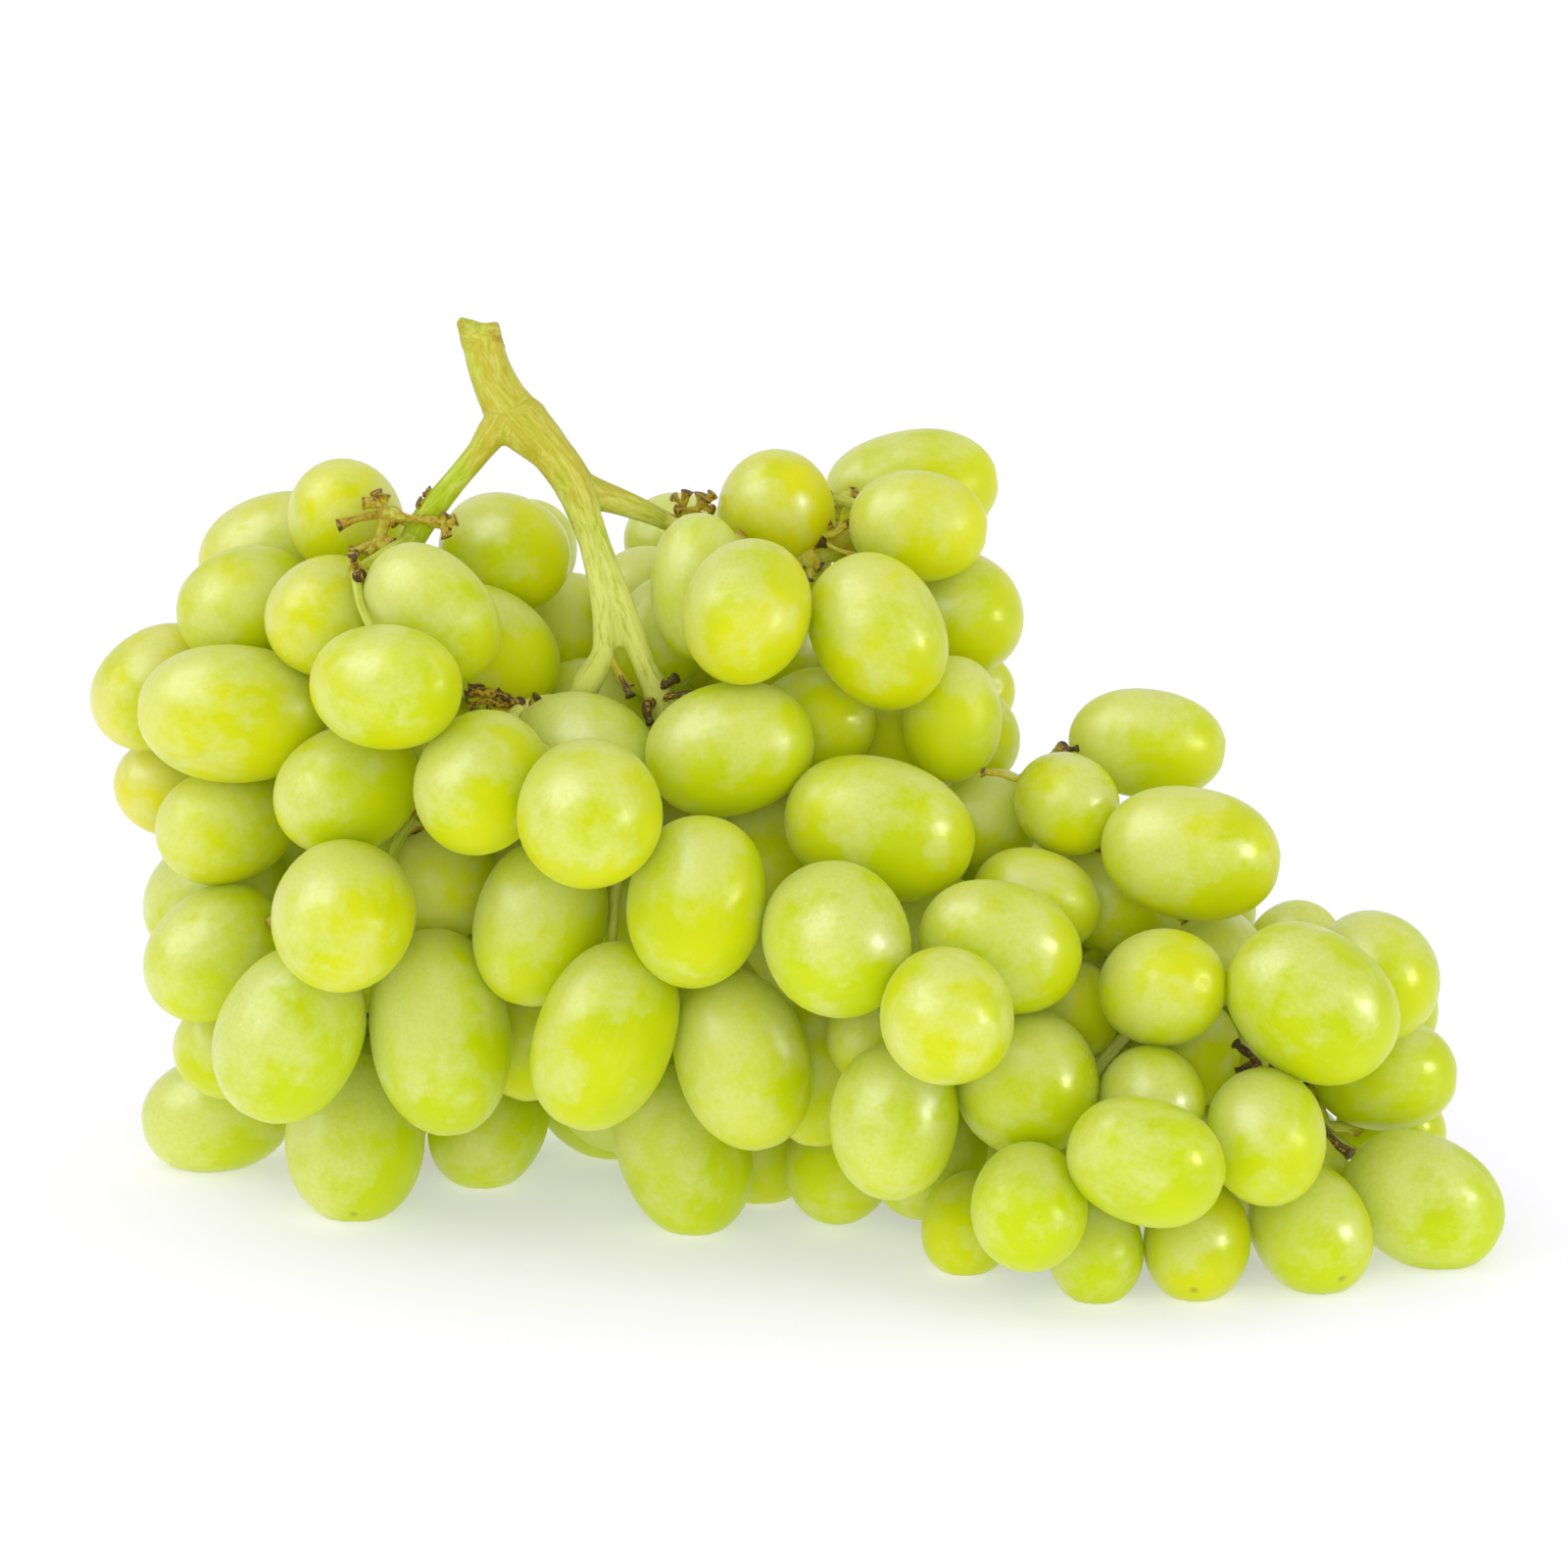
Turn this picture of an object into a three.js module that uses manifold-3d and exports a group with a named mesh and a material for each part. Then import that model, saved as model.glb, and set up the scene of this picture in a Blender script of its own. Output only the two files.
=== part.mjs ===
// A bunch of white table grapes lying on its side on a flat surface, in millimetres, +Z up.
// +X runs along the bunch from its shoulder to its tail, +Y runs to its back, and Z = 0 is the surface.
import * as THREE from 'three';
import { ConvexGeometry } from 'three/addons/geometries/ConvexGeometry.js';
import { mergeVertices } from 'three/addons/utils/BufferGeometryUtils.js';
import Module from 'manifold-3d';

// ---- Driving dimensions ----

const LEAN_DEGREES = 15; // tilt of the drawing plane in which the berries are set out
const CENTRE_X = 0.91; // middle of the bunch, left to right, in the drawing plane
const CENTRE_Y = -2.39; // middle of the bunch, front to back
const BERRY_SLENDERNESS = 1.27; // a berry's length over its width
const BERRY_FACET_SWELL = 1.02; // keeps a faceted berry as large as the round one
const BERRY_CLEARANCE = 0.55; // between a berry and its neighbours or the stem
const SMALLEST_GAP = 0.4; // a berry pressed closer than this to a neighbour gives way
const FLAT_SPOT_DEPTH = 0.8; // how much of a low berry's underside is flattened by its weight
const SAG = 4; // a back berry hanging closer than this to the surface sinks onto it

const PEDICEL_RADIUS = 0.65;
const NECK_HEIGHT = 1.2; // from a berry's stem end to where its swollen neck has narrowed to the pedicel
const PEDICEL_END = 0.5; // from the middle of a spray's knot to the end of each pedicel inside it
const PEDICEL_REACH = 5; // from a berry's stem end to the middle of its spray
const HUB_RADIUS = 1.6; // the small knot where a spray's pedicels meet
const LATERAL_RADIUS = 1; // a side branch, where it reaches a spray
const ANCHORS_TRIED = 16; // places on the limbs that a side branch may start from
const TUBE_CLEARANCE = 0.45; // between a side branch or pedicel and anything else
const JOINT_GAP = 0.35; // between a side branch's end and the knot of its spray

const SETTLING_PASSES = 420;
const HOLDING_PASSES = 300; // passes in which a berry is still drawn back to its place
const ROUTING_PASSES = 60;
const HIDDEN_SEED = 20417;
const REACH_LIMIT = 34; // two berries further apart than this cannot touch
const GAP_TURNS = 3; // refinements of the direction in which two berries face each other
const BALL_SPACING = 3; // between the balls that stand for a limb in the settling
const TUBE_BALL_SPACING = 2; // and for a pedicel or side branch in the routing

// ---- The drawing plane ----
// Places are [across, up, out]: across is +X, up lies in a plane that leans back by LEAN_DEGREES,
// and out points from that plane to the front.

const LEAN = THREE.MathUtils.degToRad(LEAN_DEGREES);
const FLOOR_UP = new THREE.Vector3(0, Math.cos(LEAN), Math.sin(LEAN));

function toSpace(place) {
  return new THREE.Vector3(
    place.x - CENTRE_X,
    place.y * Math.sin(LEAN) - place.z * Math.cos(LEAN) - CENTRE_Y,
    place.y * Math.cos(LEAN) + place.z * Math.sin(LEAN),
  );
}

function fromSpace([across, back, height]) {
  return new THREE.Vector3(
    across,
    height * Math.cos(LEAN) + back * Math.sin(LEAN),
    height * Math.sin(LEAN) - back * Math.cos(LEAN),
  );
}

// ---- Berries of the front ----
// Each row is one berry: [across, up, out, width, length as seen, direction of its tip in degrees].
// A berry seen shorter than its real length points its tip to the front. 'floor' rows touch the surface.

const FRONT_SPRAYS = [
  [[-92, 76.5, 0, 16.5, 20, 215], [-90, 62, -8, 14, 17, 170], [-82, 56.5, 8, 16.5, 20, 200]],
  [[-75.5, 96.3, -6, 16.5, 22, 200], [-79, 88, 6, 17, 20, 200], [-81.5, 89, -18, 13.5, 16, 190]],
  [[-64.5, 101, -2, 16, 17, 120], [-66.5, 87, 18, 17, 18, 200]],
  [[-57.8, 76.5, 34, 17.6, 21.3, 355], [-52, 87, 20, 16, 22, 315], [-43, 82, 6, 16, 21, 320]],
  [[-80, 73.5, 18, 19.5, 27, 177], [-64, 61.5, 20, 18, 21, 205]],
  [[-41.4, 96.2, 2, 16.7, 18.8, 340], [-39.2, 95.6, -13, 15, 17, 60], [-31.5, 84.5, -6, 14, 17, 280]],
  [[-64.2, 43.4, 34, 20.2, 21.3, 250], [-83.5, 38, 8, 17.5, 22, 220], [-72.3, 26, 24, 20.5, 26, 245]],
  [[-84, 14, -18, 17, 22, 190, 'floor'], [-81, 24, -5, 15, 17, 190], [-63.3, 10.8, 7, 20, 24, 270, 'floor']],
  [[-50.3, 26.6, 26, 20, 29.7, 277], [-50.5, 48, 14, 15.5, 17, 270]],
  [[-44, 12.5, -12, 16.5, 19, 240, 'floor'], [-37.1, 25.3, 6, 14, 18, 250]],
  [[-44.2, 62.7, 32, 18.5, 20.5, 240], [-28.7, 58.1, 42, 20.5, 21, 270], [-29.5, 66.5, 26, 18, 21, 345]],
  [[-36, 42, 28, 18.5, 24, 255], [-24.7, 44.6, 16, 16, 17, 260], [-26.4, 26.3, 32, 19.5, 27.5, 248]],
  [[-12.9, 45.1, 44, 19.4, 24.4, 262], [-6.7, 22.6, 32, 18.8, 26, 287], [-15.3, 9, 11, 18.5, 25, 290, 'floor'],
    [4.4, 20.5, 20, 14.5, 21, 265]],
  [[-8.3, 67, 34, 18.7, 24, 12], [-3.6, 52.5, 18, 14, 15, 270], [3.5, 71, 16, 16, 18, 20]],
  [[12.9, 84.4, 26, 18.5, 23, 300], [25, 87.3, 8, 17, 18, 320], [23.5, 71.8, 20, 14, 18, 270],
    [16, 70, 8, 13.5, 17, 250]],
  [[-6, 87.2, 26, 17.8, 20.3, 255], [-13, 91, 10, 13.5, 21, 270], [-2.5, 102, 4, 16.5, 17.5, 100]],
  [[18, 105.5, -4, 17, 25, 8], [18.8, 99.8, 12, 15.5, 19.7, 355]],
  [[26.8, 69.4, 6, 13, 14, 300], [26.4, 75.5, -6, 12, 13, 20]],
  [[-15.8, 97.6, -8, 14.5, 16, 160], [-21.5, 90.5, 2, 12.5, 14, 200], [-18.5, 84, 6, 14, 18, 240]],
  [[12.6, 56.3, 38, 19.7, 27.5, 344], [6.6, 40.2, 46, 20.6, 22, 300], [11.5, 26, 34, 12, 13, 280]],
  [[15.1, 14.1, 46, 17.9, 22.3, 265], [7.8, 7.6, 14, 15.6, 18, 250], [20.5, 8, 26, 15, 18, 235],
    [22.3, 29.3, 58, 18.7, 19.2, 280]],
  [[34.6, 19.3, 45, 20.2, 20.9, 290], [34.4, 2, 46, 16.2, 17.8, 270], [25.9, -0.3, 34, 13, 15, 250, 'floor'],
    [44.3, -4.4, 46, 13.5, 16, 275, 'floor']],
  [[30.4, 39, 43, 18, 23.5, 342], [35.7, 45.6, 30, 14.2, 18.5, 345], [41.3, 29.8, 34, 12.8, 13.6, 290]],
  [[52, 68.2, 12, 15.5, 22.4, 353], [40.2, 59.5, 24, 14, 15, 320], [28.6, 57.3, 18, 14, 16.5, 200]],
  [[58, 52.4, 26, 18.8, 25.5, 350], [45.3, 45.6, 28, 14.2, 17, 330], [62, 37.2, 24, 13, 14, 300]],
  [[53.9, 32.7, 39, 16.4, 17.8, 5], [52, 17.4, 30, 14.6, 15.2, 300], [58.8, 23.5, 24, 13, 15, 270]],
  [[51, 8.4, 50, 17.7, 22.5, 339], [58.4, -3.4, 44, 15, 17.2, 265, 'floor']],
  [[68.6, 12, 48, 16.8, 19, 280], [75.1, -1.7, 38.5, 16.5, 19.3, 302, 'floor'], [67.5, 22.5, 22, 12.5, 14, 270]],
  [[74.9, 30.6, 40, 20.5, 26, 323], [73.2, 37.9, 16, 13.6, 15, 60]],
  [[84.9, 34.7, 22, 17.2, 18.6, 310], [86.4, 20.4, 22, 16, 20.5, 357]],
  [[91.8, 2.2, 27, 18.3, 24, 331, 'floor'], [87.6, 12.2, 10, 12.5, 15.5, 350]],
];

// ---- Sprays of the back and the underside ----
// Each row is one spray: the place of its knot as [across, back, height], the direction it faces as
// [turn in degrees from +X, rise in degrees], and its number of berries.

const HIDDEN_SPRAYS = [
  [[-65, 13, 62], [106, 0], 5],
  [[-55, 17, 40], [104, -8], 5],
  [[-56, 16, 17], [105, -15], 4],
  [[-40, 14, 60], [84, 0], 5],
  [[-36, 20, 24], [84, -8], 5],
  [[-16, 12, 68], [85, 12], 5],
  [[-12, 6, 42], [90, 0], 5],
  [[-4, 9, 20], [88, -30], 4],
  [[10, 4, 50], [84, -5], 5],
  [[18, 0, 30], [85, -10], 5],
  [[36, -8, 30], [78, -5], 5],
  [[46, -12, 16], [85, -20], 4],
  [[58, -16, 20], [68, -8], 5],
];
const HIDDEN_WIDTH = 18;
const HIDDEN_WIDTH_SPREAD = 2;
const HIDDEN_TILT_DEGREES = 58; // how far a spray's outer berries open from its middle one
const HIDDEN_TILT_SPREAD = 8;
const HIDDEN_ROUND_SPREAD = 0.2; // of the even spacing of the outer berries round the middle one
const MIDDLE_BERRY_LIFT = 0.5; // how far the middle berry stands out of the others, in radii

// ---- The stem ----
// Each limb is a list of [across, up, out, radius].

const PEDUNCLE = [
  [-45, 128.7, 20, 3.1], [-44.2, 125.5, 20, 3], [-43, 121.5, 20, 3.2], [-41, 117.5, 20, 3.6],
  [-38.5, 114.5, 20, 4.1], [-34.5, 110.5, 20, 3.1], [-31.3, 106, 20.5, 3], [-30, 101, 21, 2.5],
  [-28.5, 96, 22, 2.2], [-26.8, 91, 23, 2.1], [-24.8, 86, 23.5, 2.1], [-21.6, 79, 22, 1.8],
  [-18.5, 73.5, 18, 1.9], [-5, 62, 12, 2], [15, 50, 10, 1.9], [35, 38, 10, 1.8],
  [55, 28, 11, 1.6], [72, 20, 11, 1.4],
];
const FORK = [[-26.2, 88, 23.5, 1.8], [-28, 81, 21, 1.6], [-31, 74, 15, 1.5], [-36, 60, 8, 1.5], [-38, 42, 4, 1.4]];
const LEFT_SHOULDER = [
  [-39, 113, 20, 2.8], [-44.5, 111, 19, 2.2], [-48, 107, 18, 2], [-51, 103.5, 16.5, 1.9], [-54, 99.5, 14, 1.8],
  [-56.5, 94, 10, 1.7], [-62, 78, 2, 1.7], [-67, 58, 2, 1.6], [-67, 38, 2, 1.4], [-66, 26, 0, 1.2],
];
const RIGHT_SHOULDER = [
  [-31, 106.5, 20, 2.4], [-26, 104.2, 18, 1.9], [-21, 102, 14, 1.6], [-16.5, 100, 7, 1.4], [-8, 96, -1, 1.3],
  [3, 92.5, -3, 1.3], [16, 86, -4, 1.2],
];
const LOWER_LIMB = [[-8, 64.5, 13, 1.8], [-10, 52, 6, 1.5], [-9, 40, 2, 1.4], [-4, 30, 2, 1.3]];
const TAIL_LIMB = [[36, 37.5, 10, 1.6], [38, 28, 15, 1.4], [43, 18, 19, 1.3], [50, 11, 21, 1.2]];
const CUT_END_LIPS = [
  [[-45, 127.5, 20, 2.2], [-48.3, 129.6, 20.5, 1]],
  [[-45, 127.5, 20, 2.2], [-42, 128.6, 19.5, 1]],
];
const BARE_TWIGS = [
  [[-54, 99.5, 14, 1], [-58, 101.5, 15, 0.9], [-62, 101, 15, 0.7], [-65.5, 100, 15.5, 1.1]],
  [[-58, 101.5, 15, 0.8], [-59.3, 103, 15.5, 0.6], [-60, 104.8, 16, 1]],
  [[-55, 97.5, 12, 0.9], [-59.5, 97.4, 14, 0.8], [-63.5, 96, 15, 0.9]],
  [[-52.5, 101.5, 15, 0.8], [-52.3, 104.6, 16, 0.8]],
  [[-17, 100.2, 8, 1], [-15.3, 103, 10, 0.7], [-14.8, 105, 10.5, 0.9]],
  [[-15.8, 102, 9.4, 0.7], [-13, 102.5, 11, 0.6], [-11, 104.5, 12, 0.9]],
  [[2, 93, -3, 1], [3, 97, -1, 0.7], [6.5, 101.5, 2, 0.7]],
  [[3, 97, -1, 0.7], [5.8, 98.6, 0, 0.6], [9, 100.4, 1, 0.6]],
];
const STEM_SIDES = 6;
const TUBE_SIDES = 3; // of a pedicel, side branch or bare twig
const GROOVE_SIDES = 5;
const GROOVE_MARGIN = 0.6; // between the corners of a groove and those of the tube that runs in it
const LIMB_SPACING = 8; // between the rings of a limb
const STEEP_RISE = 0.9; // share of a tube's first direction that is upright when its rings start from +X
const GROUND_SIZE = 400;
const GROUND_DEPTH = 20;

// ---- Small helpers ----

function seededDraw(seed) {
  let state = seed;
  return () => {
    state = (state * 16807) % 2147483647;
    return state / 2147483647;
  };
}

function reachAlong(body, direction) {
  const along = body.axis.dot(direction);
  return Math.sqrt(body.radius ** 2 + (body.half ** 2 - body.radius ** 2) * along ** 2);
}

function surfaceOffset(body, direction) {
  const along = body.axis.dot(direction);
  const offset = direction.clone().multiplyScalar(body.radius ** 2);
  offset.addScaledVector(body.axis, (body.half ** 2 - body.radius ** 2) * along);
  return offset.divideScalar(reachAlong(body, direction));
}

// The gap between two rounded bodies and the direction from the first to the second.
function gapBetween(first, second) {
  const apart = second.place.clone().sub(first.place);
  const direction = apart.clone().normalize();
  for (let turn = 0; turn < GAP_TURNS; turn += 1) {
    const slip = apart.clone().sub(surfaceOffset(first, direction)).sub(surfaceOffset(second, direction));
    slip.addScaledVector(direction, -slip.dot(direction));
    const reach = reachAlong(first, direction) + reachAlong(second, direction);
    direction.addScaledVector(slip, 1 / reach).normalize();
  }
  const gap = apart.dot(direction) - reachAlong(first, direction) - reachAlong(second, direction);
  return { gap, direction };
}

// ---- Setting out the berries ----

function frontBerry([across, up, out, width, seen, tip, contact], spray) {
  const radius = width / 2;
  const half = Math.max(radius * BERRY_SLENDERNESS, seen / 2);
  const flatness = ((seen / 2) ** 2 - radius ** 2) / (half ** 2 - radius ** 2);
  const inPlane = Math.sqrt(THREE.MathUtils.clamp(flatness, 0, 1));
  const turn = THREE.MathUtils.degToRad(tip);
  const axis = new THREE.Vector3(inPlane * Math.cos(turn), inPlane * Math.sin(turn), Math.sqrt(1 - inPlane ** 2));
  const home = new THREE.Vector3(across, up, out);
  return { spray, home, place: home.clone(), axis, half, radius, shown: true, low: contact === 'floor' };
}

function directionFrom([turnDegrees, riseDegrees]) {
  const turn = THREE.MathUtils.degToRad(turnDegrees);
  const rise = THREE.MathUtils.degToRad(riseDegrees);
  return fromSpace([Math.cos(turn) * Math.cos(rise), Math.sin(turn) * Math.cos(rise), Math.sin(rise)]);
}

function hiddenBerries([knot, facing, count], spray, draw) {
  const centre = fromSpace(knot);
  const outward = directionFrom(facing);
  const side = new THREE.Vector3().crossVectors(outward, FLOOR_UP).normalize();
  const berries = [];
  for (let index = 0; index < count; index += 1) {
    const radius = (HIDDEN_WIDTH + HIDDEN_WIDTH_SPREAD * (draw() - 0.5)) / 2;
    const half = radius * BERRY_SLENDERNESS;
    const tilt = index === 0 ? 0 : HIDDEN_TILT_DEGREES + HIDDEN_TILT_SPREAD * (draw() - 0.5);
    const spacing = index + 0.5 + HIDDEN_ROUND_SPREAD * (draw() - 0.5);
    const round = (2 * Math.PI * spacing) / (count - 1);
    const axis = outward.clone().applyAxisAngle(side, THREE.MathUtils.degToRad(tilt));
    axis.applyAxisAngle(outward, round);
    const reach = half + PEDICEL_REACH + (index === 0 ? radius * MIDDLE_BERRY_LIFT : 0);
    const home = centre.clone().addScaledVector(axis, reach);
    berries.push({ spray, home, place: home.clone(), axis, half, radius, shown: false, low: false });
  }
  return berries;
}

// ---- Limbs as smooth curves ----

function limbCurve(limb) {
  return new THREE.CatmullRomCurve3(limb.map(([across, up, out]) => new THREE.Vector3(across, up, out)));
}

function limbRadius(limb, share) {
  const position = share * (limb.length - 1);
  const index = Math.min(Math.floor(position), limb.length - 2);
  return THREE.MathUtils.lerp(limb[index][3], limb[index + 1][3], position - index);
}

function ballAt(place, radius) {
  return { place, axis: FLOOR_UP, half: radius, radius };
}

function ballsAlong(limb) {
  const curve = limbCurve(limb);
  const count = Math.ceil(curve.getLength() / BALL_SPACING);
  return Array.from({ length: count + 1 }, (_, index) => (
    ballAt(curve.getPoint(index / count), limbRadius(limb, index / count))
  ));
}

// ---- Settling the berries against each other, the surface and what is already in place ----

const SHOWN_EASE = new THREE.Vector3(0.3, 0.3, 1);
const FREE_EASE = new THREE.Vector3(1, 1, 1);
const STEP_SHARE = 0.45; // share of each overlap taken up in one pass
const HOME_PULL = 0.16; // share of a shown berry's drift taken back in one pass
const HIDDEN_PULL = 0.02;

function addPushes(berries, fixed, pushes) {
  for (let index = 0; index < berries.length; index += 1) {
    const berry = berries[index];
    for (let other = index + 1; other < berries.length; other += 1) {
      if (berry.place.distanceTo(berries[other].place) > REACH_LIMIT) continue;
      const { gap, direction } = gapBetween(berry, berries[other]);
      if (gap >= BERRY_CLEARANCE) continue;
      pushes[index].addScaledVector(direction, (gap - BERRY_CLEARANCE) / 2);
      pushes[other].addScaledVector(direction, (BERRY_CLEARANCE - gap) / 2);
    }
    for (const body of fixed) {
      if (berry.place.distanceTo(body.place) > REACH_LIMIT) continue;
      const { gap, direction } = gapBetween(berry, body);
      if (gap < BERRY_CLEARANCE) pushes[index].addScaledVector(direction, gap - BERRY_CLEARANCE);
    }
    const height = berry.place.dot(FLOOR_UP) - reachAlong(berry, FLOOR_UP) + FLAT_SPOT_DEPTH;
    const rests = berry.low || height < 0 || (!berry.shown && height < SAG);
    if (rests) pushes[index].addScaledVector(FLOOR_UP, -height);
  }
}

function settle(berries, fixed) {
  for (let pass = 0; pass < SETTLING_PASSES; pass += 1) {
    const pushes = berries.map(() => new THREE.Vector3());
    addPushes(berries, fixed, pushes);
    const hold = Math.max(0, 1 - pass / HOLDING_PASSES);
    berries.forEach((berry, index) => {
      const ease = berry.shown ? SHOWN_EASE : FREE_EASE;
      berry.place.addScaledVector(pushes[index].multiply(ease), STEP_SHARE);
      const drift = berry.home.clone().sub(berry.place);
      if (berry.shown) drift.z = 0;
      berry.place.addScaledVector(drift, hold * (berry.shown ? HOME_PULL : HIDDEN_PULL));
    });
  }
}

// Where two berries are still pressed together, both give way a little.
function giveWay(berries) {
  const squeeze = berries.map(() => 0);
  for (let index = 0; index < berries.length; index += 1) {
    for (let other = index + 1; other < berries.length; other += 1) {
      if (berries[index].place.distanceTo(berries[other].place) > REACH_LIMIT) continue;
      const { gap } = gapBetween(berries[index], berries[other]);
      squeeze[index] = Math.max(squeeze[index], (SMALLEST_GAP - gap) / 2);
      squeeze[other] = Math.max(squeeze[other], (SMALLEST_GAP - gap) / 2);
    }
  }
  berries.forEach((berry, index) => {
    berry.radius -= squeeze[index];
    berry.half -= squeeze[index];
  });
}

const draw = seededDraw(HIDDEN_SEED);
const sprayBerries = FRONT_SPRAYS.map((rows, spray) => rows.map((row) => frontBerry(row, spray)));
HIDDEN_SPRAYS.forEach((row, index) => {
  sprayBerries.push(hiddenBerries(row, FRONT_SPRAYS.length + index, draw));
});
const berries = sprayBerries.flat();
const frontBerries = berries.filter((berry) => berry.shown);
const backBerries = berries.filter((berry) => !berry.shown);
const LIMBS = [PEDUNCLE, FORK, LEFT_SHOULDER, RIGHT_SHOULDER, LOWER_LIMB, TAIL_LIMB];
const limbBalls = LIMBS.flatMap(ballsAlong);
const stemBalls = [...limbBalls, ...BARE_TWIGS.flatMap(ballsAlong)];
settle(frontBerries, stemBalls);
settle(backBerries, [...stemBalls, ...frontBerries]);
giveWay(berries);

// ---- Routes of the pedicels and side branches ----

function ballsOnRoute(route) {
  const balls = [];
  for (let station = 1; station < route.length; station += 1) {
    const [from, fromRadius] = route[station - 1];
    const [to, toRadius] = route[station];
    const count = Math.ceil(from.distanceTo(to) / TUBE_BALL_SPACING);
    for (let index = 0; index < count; index += 1) {
      const share = index / count;
      balls.push(ballAt(from.clone().lerp(to, share), THREE.MathUtils.lerp(fromRadius, toRadius, share)));
    }
  }
  return balls;
}

function isBlocked(route, bodies) {
  return ballsOnRoute(route).some((ball, index) => index > 0 && bodies.some((body) => (
    ball.place.distanceTo(body.place) < REACH_LIMIT && gapBetween(body, ball).gap < SMALLEST_GAP
  )));
}

// Moves a point clear of every body, as a ball of the given radius would be.
function clearPoint(point, radius, bodies, passes) {
  for (let pass = 0; pass < passes; pass += 1) {
    for (const body of bodies) {
      if (point.distanceTo(body.place) > REACH_LIMIT) continue;
      const { gap, direction } = gapBetween(body, ballAt(point, radius));
      if (gap < TUBE_CLEARANCE) point.addScaledVector(direction, (TUBE_CLEARANCE - gap) * STEP_SHARE);
    }
  }
  return point;
}

function stemEnd(berry, beyond) {
  return berry.place.clone().addScaledVector(berry.axis, -(berry.half + beyond));
}

function knotOf(spray, bodies) {
  const knot = new THREE.Vector3();
  for (const berry of spray) knot.addScaledVector(stemEnd(berry, PEDICEL_REACH), 1 / spray.length);
  return clearPoint(knot, HUB_RADIUS, bodies, ROUTING_PASSES);
}

// A pedicel's route: [place, radius] from the berry's neck, on its side towards the knot, to the
// knot of its spray, bent only where it has to be.
function pedicelRoute(berry, knot, bodies) {
  const towards = knot.clone().sub(berry.place).normalize();
  const neck = berry.place.clone().addScaledVector(towards, reachAlong(berry, towards) + NECK_HEIGHT);
  const straight = [[neck, PEDICEL_RADIUS], [knot, PEDICEL_RADIUS]];
  if (!isBlocked(straight, bodies)) return straight;
  const bend = clearPoint(neck.clone().lerp(knot, 1 / 2), PEDICEL_RADIUS, bodies, ROUTING_PASSES);
  return [straight[0], [bend, PEDICEL_RADIUS], straight[1]];
}

// The end of a side branch, just short of the knot that it carries.
function endBefore(from, knot) {
  const back = from.clone().sub(knot).setLength(HUB_RADIUS + JOINT_GAP);
  return [knot.clone().add(back), LATERAL_RADIUS];
}

// A side branch's route: straight from the nearest place on a limb that has a clear line to the
// knot, or else bent round what is in the way of the nearest place of all.
function lateralRoute(knot, anchors, bodies) {
  const nearest = [...anchors].sort((one, other) => (
    one.place.distanceTo(knot) - other.place.distanceTo(knot)
  )).slice(0, ANCHORS_TRIED);
  const straight = nearest.map(({ place }) => [[place, LATERAL_RADIUS], endBefore(place, knot)]);
  const clear = straight.find((route) => !isBlocked(route, bodies));
  if (clear) return clear;
  const [root, end] = straight[0];
  const bends = [1 / 3, 2 / 3].map((share) => (
    clearPoint(root[0].clone().lerp(knot, share), LATERAL_RADIUS, bodies, ROUTING_PASSES)
  ));
  return [root, ...bends.map((bend) => [bend, LATERAL_RADIUS]), end];
}

// ---- Solids ----

const wasm = await Module();
wasm.setup();

function asSolid(geometry) {
  geometry.deleteAttribute('normal');
  geometry.deleteAttribute('uv');
  const merged = mergeVertices(geometry);
  return new wasm.Manifold(new wasm.Mesh({
    numProp: 3,
    vertProperties: new Float32Array(merged.attributes.position.array),
    triVerts: new Uint32Array(merged.index.array),
  }));
}

function asGeometry(solid) {
  const mesh = solid.getMesh();
  const geometry = new THREE.BufferGeometry();
  geometry.setAttribute('position', new THREE.BufferAttribute(mesh.vertProperties, mesh.numProp));
  geometry.setIndex(new THREE.BufferAttribute(mesh.triVerts, 1));
  const shaded = geometry.toNonIndexed();
  shaded.computeVertexNormals();
  return shaded;
}

// The three corners of each facet of a unit ball with sixty facets, five round each corner of an
// icosahedron.
function ballFacets() {
  const shapes = [new THREE.DodecahedronGeometry(), new THREE.IcosahedronGeometry().rotateX(Math.PI / 2)];
  const points = shapes.flatMap((shape) => cornersOf(shape));
  const corners = cornersOf(new ConvexGeometry(points));
  return Array.from({ length: corners.length / 3 }, (_, facet) => corners.slice(3 * facet, 3 * facet + 3));
}

function cornersOf(geometry) {
  const corners = geometry.attributes.position;
  return Array.from({ length: corners.count }, (_, index) => (
    new THREE.Vector3().fromBufferAttribute(corners, index)
  ));
}

const BALL_FACETS = ballFacets();

function berryFacets(berry) {
  const centre = toSpace(berry.place);
  const tip = toSpace(berry.place.clone().add(berry.axis)).sub(centre);
  const turn = new THREE.Quaternion().setFromUnitVectors(new THREE.Vector3(0, 0, 1), tip);
  const size = new THREE.Vector3(berry.radius, berry.radius, berry.half).multiplyScalar(BERRY_FACET_SWELL);
  const placing = new THREE.Matrix4().compose(centre, turn, size);
  return BALL_FACETS.map((facet) => facet.map((corner) => corner.clone().applyMatrix4(placing)));
}

// Takes out of a list of facets the one nearest to a place.
function takeFacetNearest(facets, place) {
  const distance = ([a, b, c]) => a.clone().add(b).add(c).divideScalar(3).distanceTo(place);
  const nearest = facets.reduce((best, facet) => (distance(facet) < distance(best) ? facet : best));
  return facets.splice(facets.indexOf(nearest), 1)[0];
}

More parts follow.
